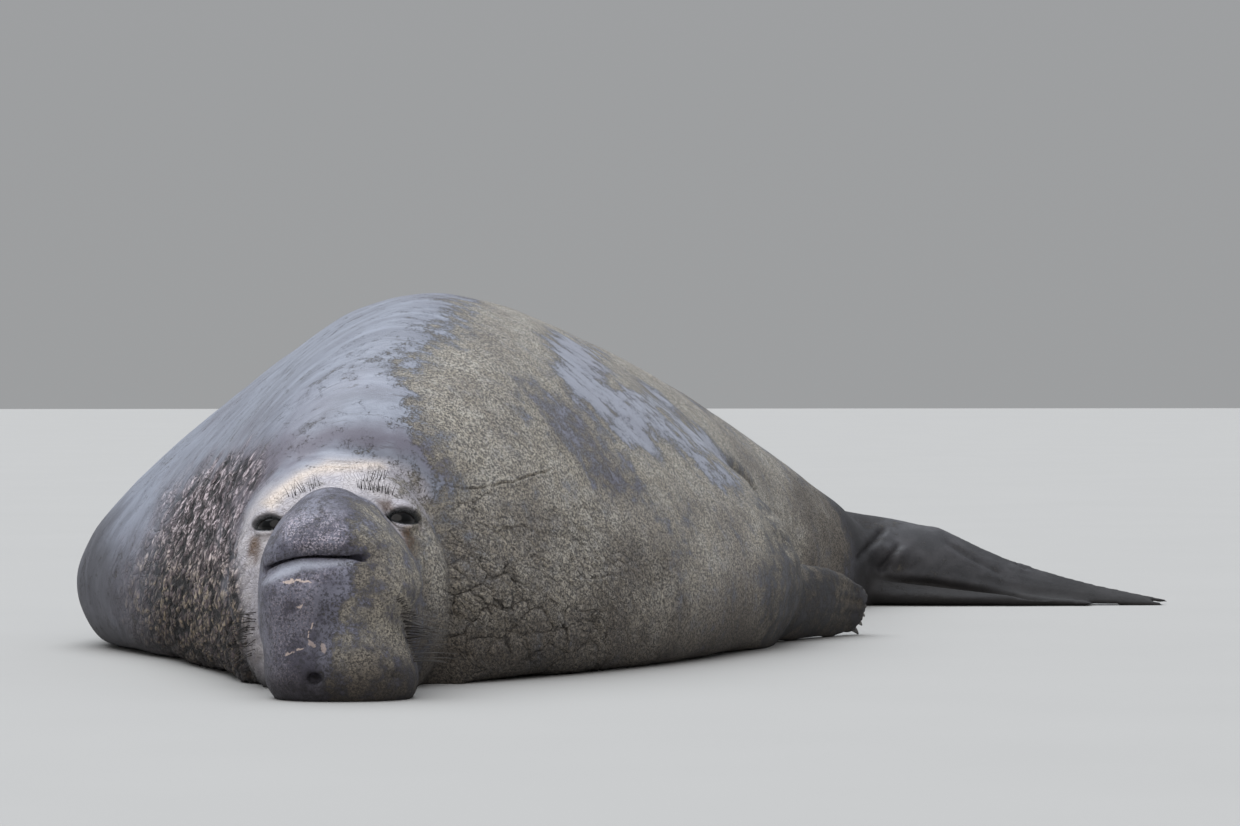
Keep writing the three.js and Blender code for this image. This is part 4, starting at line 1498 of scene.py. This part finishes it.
@dataclass
class Whiskers:
    """The whiskers beside the trunk and the hairs above the eyes."""

    sight: Sight
    tufts: list[Tuft]
    steps: int = 9
    seed: int = 8

    def build(self) -> bpy.types.Object:
        """Makes the hairs.

        Returns:
            All hairs as one mesh.
        """
        curve = bpy.data.curves.new("whiskers", "CURVE")
        curve.dimensions = "3D"
        curve.bevel_depth = MM / 2
        curve.bevel_resolution = 1
        curve.use_fill_caps = True
        draw = np.random.default_rng(self.seed)
        right = np.array(self.sight.view.euler().to_matrix())[:, 0]
        for tuft in self.tufts:
            for number in range(tuft.count):
                share = (number + draw.uniform(0.1, 0.9)) / tuft.count
                pixel = np.array(tuft.start) * (1 - share) + np.array(tuft.end) * share
                self.grow(curve, tuple(pixel + draw.normal(0, 0.8, 2)), tuft, right, draw)
        hairs = bpy.data.objects.new("whiskers", curve)
        bpy.context.scene.collection.objects.link(hairs)
        take(hairs)
        bpy.ops.object.convert(target="MESH")
        hairs = bpy.context.view_layer.objects.active
        hairs.name = hairs.data.name = "whiskers"
        bpy.ops.object.shade_smooth()
        return hairs

    def grow(self, curve: bpy.types.Curve, pixel: Pixel, tuft: Tuft, right: np.ndarray,
             draw: np.random.Generator) -> None:
        """Adds one hair to the curve.

        Args:
            curve: The curve that holds all hairs.
            pixel: Where the hair grows, in the picture.
            tuft: The tuft that it belongs to.
            right: The picture's direction across, in the part's frame.
            draw: The seeded source of small differences.
        """
        found = self.sight.tree.ray_cast(Vector(self.sight.view.place), self.sight.view.towards(pixel))
        if found[0] is None:
            return
        root, normal = np.array(found[0]), np.array(found[1])
        spread = draw.normal(0, 0.14, 2)
        way = right * (tuft.lean[0] + spread[0]) - np.array((0, 0, 1)) * (tuft.lean[1] + spread[1])
        way = way / np.linalg.norm(way) + normal * tuft.stand
        way /= np.linalg.norm(way)
        length = tuft.length * draw.uniform(0.65, 1.1) * MM
        bend = np.array((0, 0, -1)) * tuft.curl + right * draw.normal(0, 0.1)
        spline = curve.splines.new("POLY")
        spline.points.add(self.steps - 1)
        for i, point in enumerate(spline.points):
            share = i / (self.steps - 1)
            place = root + (way * (share - 0.03) + bend * share**2) * length
            point.co = (*place, 1)
            point.radius = tuft.thick * (1 - 0.8 * share)


@dataclass(frozen=True)
class FloorFinish:
    """A plain pale studio floor."""

    colour: Colour = (0.41, 0.398, 0.38)

    def build(self) -> bpy.types.Material:
        """Makes the material."""
        material, nodes, shader = new_material("Studio floor")
        place = nodes.add("TexCoord").outputs["Object"]
        shade = nodes.noise(place, 1.4, 3, 0.5)
        darker = tuple(each * 0.94 for each in self.colour)
        nodes.feed(shader, {"Base Color": nodes.mix(shade, self.colour, darker), "Roughness": 0.8})
        return material


@dataclass
class Studio:
    """The floor, the soft lights and the camera."""

    view: Viewpoint

    def build(self) -> None:
        """Sets the studio up."""
        deselect_all()
        bpy.ops.mesh.primitive_plane_add(size=60, location=(0, 18, -0.0005))
        floor = bpy.context.view_layer.objects.active
        floor.name = floor.data.name = "floor"
        bpy.ops.object.transform_apply(location=True, rotation=True, scale=True)
        floor.data.materials.append(FloorFinish().build())
        self.light("Soft sky", (-0.25, 0.20, 1.0), 2.9, 75, (0.90, 0.95, 1.0))
        self.light("Front fill", (-0.10, -1.0, 0.60), 0.9, 50, (1.0, 0.97, 0.93))
        world = bpy.data.worlds.new("Studio air")
        world.use_nodes = True
        nodes = Nodes(world.node_tree)
        level = nodes.add("SeparateXYZ", {0: nodes.add("TexCoord").outputs["Generated"]}).outputs["Z"]
        air = world.node_tree.nodes["Background"]
        colour = nodes.mix(nodes.remap(level, 0.0, 0.8), (0.56, 0.57, 0.58), (0.86, 0.91, 1.0))
        nodes.feed(air, {"Color": colour, "Strength": 0.6})
        bpy.context.scene.world = world
        bpy.context.scene.view_settings.view_transform = "Standard"
        lens = bpy.data.cameras.new("Camera")
        lens.lens, lens.sensor_width = self.view.lens, self.view.sensor
        lens.clip_end = 200
        camera = bpy.data.objects.new("Camera", lens)
        camera.location = self.view.place
        camera.rotation_euler = self.view.euler()
        bpy.context.scene.collection.objects.link(camera)
        bpy.context.scene.camera = camera

    @staticmethod
    def light(name: str, source: tuple[float, float, float], power: float, spread: float,
              colour: Colour) -> None:
        """Hangs one soft light, far away and wide, so that it lights the whole floor evenly.

        Args:
            name: Its name.
            source: The direction in which it lies.
            power: Its strength in watts a square metre.
            spread: How wide it looks from the ground, in degrees.
            colour: Its colour.
        """
        lamp = bpy.data.lights.new(name, "SUN")
        lamp.energy, lamp.color, lamp.angle = power, colour, math.radians(spread)
        hung = bpy.data.objects.new(name, lamp)
        hung.location = tuple(4 * each for each in source)
        hung.rotation_euler = (-Vector(source)).to_track_quat("-Z", "Y").to_euler()
        bpy.context.scene.collection.objects.link(hung)


SCARS = [
    Scar((281, 584), (296, 580), 4.0), Scar((294, 580), (312, 582), 3.4),
    Scar((297, 608), (305, 604), 2.2), Scar((314, 622), (309, 630), 2.2), Scar((309, 630), (308, 639), 2.0),
    Scar((281, 657), (305, 647), 3.6, 0.9), Scar((286, 676), (320, 663), 2.2),
    Scar((308, 640), (315, 648), 4.5, 0.6), Scar((322, 641), (325, 655), 5.0, 0.6),
]


TUFTS = [
    Tuft((289, 498), (320, 486), 13, (-0.3, -1.0), 30, 0.1, 0.5, 1.5),
    Tuft((358, 487), (392, 494), 22, (-0.25, -1.0), 20, -0.1, 0.7, 1.8),
    Tuft((362, 481), (386, 480), 10, (0.5, -0.6), 16, -0.5, 0.6, 1.7),
    Tuft((249, 615), (246, 648), 12, (-1.0, -0.05), 56, 0.12, 0.6, 1.9),
    Tuft((256, 608), (252, 658), 12, (-1.0, 0.1), 48, 0.2, 0.6, 1.7),
    Tuft((396, 598), (414, 620), 16, (0.6, -0.7), 19, 0.2, 0.6, 1.9),
    Tuft((402, 612), (408, 642), 18, (1.0, 0.02), 84, 0.1, 1.0, 2.7),
    Tuft((406, 636), (414, 664), 12, (1.0, 0.15), 76, 0.1, 1.0, 2.6),
]


NOSTRILS = [((315.4, 677), (22, 12, 14)), ((394.3, 676), (20, 12, 12))]


FOLDS = [
    Fold(((262, 578), (270, 568), (285, 561), (301, 557), (318, 556), (345, 557.5), (372, 559.5)),
         19, 5.5, (9, 6), 0.45, 0.16),
    Fold(((318, 463.5), (335, 462), (352, 462.5), (370, 464)), 2.2, 2.8, (1.2, 1.2), fade=0.4, stray=3),
    Fold(((300, 470), (325, 467.5), (350, 468), (378, 470)), 1.4, 2.6, (0.6, 0.6), fade=0.4, stray=4),
    Fold(((448, 486), (461, 488), (480, 489), (500, 485), (522, 478), (545, 471), (566, 467)),
         4, 2.4, (1.5, 1.5), stray=4),
    *(Fold(pixels, 3.6, 2.2, (1.2, 1.2), fade=0.35, stray=5) for pixels in (
        ((474, 526), (502, 529), (522, 527), (540, 532)), ((565, 561), (595, 557), (619, 564)),
        ((562, 579), (590, 577), (616, 576), (640, 572)), ((487, 596), (498, 604), (514, 611)),
        ((550, 617), (566, 627), (577, 641)), ((598, 614), (607, 629), (604, 641), (598, 650)),
        ((520, 560), (534, 556), (549, 562), (560, 572)), ((470, 555), (486, 561), (500, 570)),
        ((505, 575), (520, 585), (530, 600)), ((536, 588), (550, 596), (562, 610)))),
    Fold(((886, 526), (874, 541), (855, 562)), 10, 9, (3, 2)),
    Fold(((902, 541), (890, 558), (877, 574)), 8, 9, (3, 2)),
    Fold(((962, 532), (990, 548), (1028, 570)), 5, 9, (2, 2)),
    Fold(((940, 538), (970, 558), (1010, 578)), 4, 9, (2, 2)),
    Fold(((868, 577), (930, 583), (1000, 594), (1058, 602)), 13, 8, (3, 3)),
    Fold(((720, 455), (745, 480), (770, 510), (785, 540), (789, 560)), 10, 18, (4, 4)),
]


def main() -> None:
    """Builds the dressed seal and its studio."""
    logging.basicConfig(level=logging.INFO, format="%(message)s")
    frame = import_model()
    deselect_all()
    nodes = frame["nodes"]
    head = HeadFrame.from_eyes()
    view = Viewpoint()
    effects = Effects()

    skin = Skin(head, view)
    hide = skin.build(nodes)
    sight = Sight(view, skin.surface)
    scars = [(sight.spot(scar.start), sight.spot(scar.end), scar) for scar in SCARS]
    scars = [each for each in scars if each[0] is not None and each[1] is not None]
    hide.data.materials.append(HideFinish().build(effects, scars))
    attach(hide, "root")
    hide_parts(*skin.flesh)
    LOG.info("skin: %d faces", len(hide.data.polygons))

    wet = EyeFinish().build()
    for side in Side:
        ball = Eyeball(side, head).build()
        ball.data.materials.append(wet)
        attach(ball, "root")
        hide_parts(f"eye_{side.word}")
        LOG.info("%s: %d faces", ball.name, len(ball.data.polygons))

    hairs = Whiskers(sight, TUFTS).build()
    hairs.data.materials.clear()
    hairs.data.materials.append(HairFinish().build())
    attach(hairs, "root")
    LOG.info("whiskers: %d faces", len(hairs.data.polygons))

    horn = HornFinish().build(effects)
    for name, node in nodes.items():
        if name.startswith("claw_"):
            node.data.materials.clear()
            node.data.materials.append(horn)
    LOG.info("claws: new horn")

    Studio(view).build()
    LOG.info("studio: floor, two lights, camera")


if __name__ == "__main__":
    main()
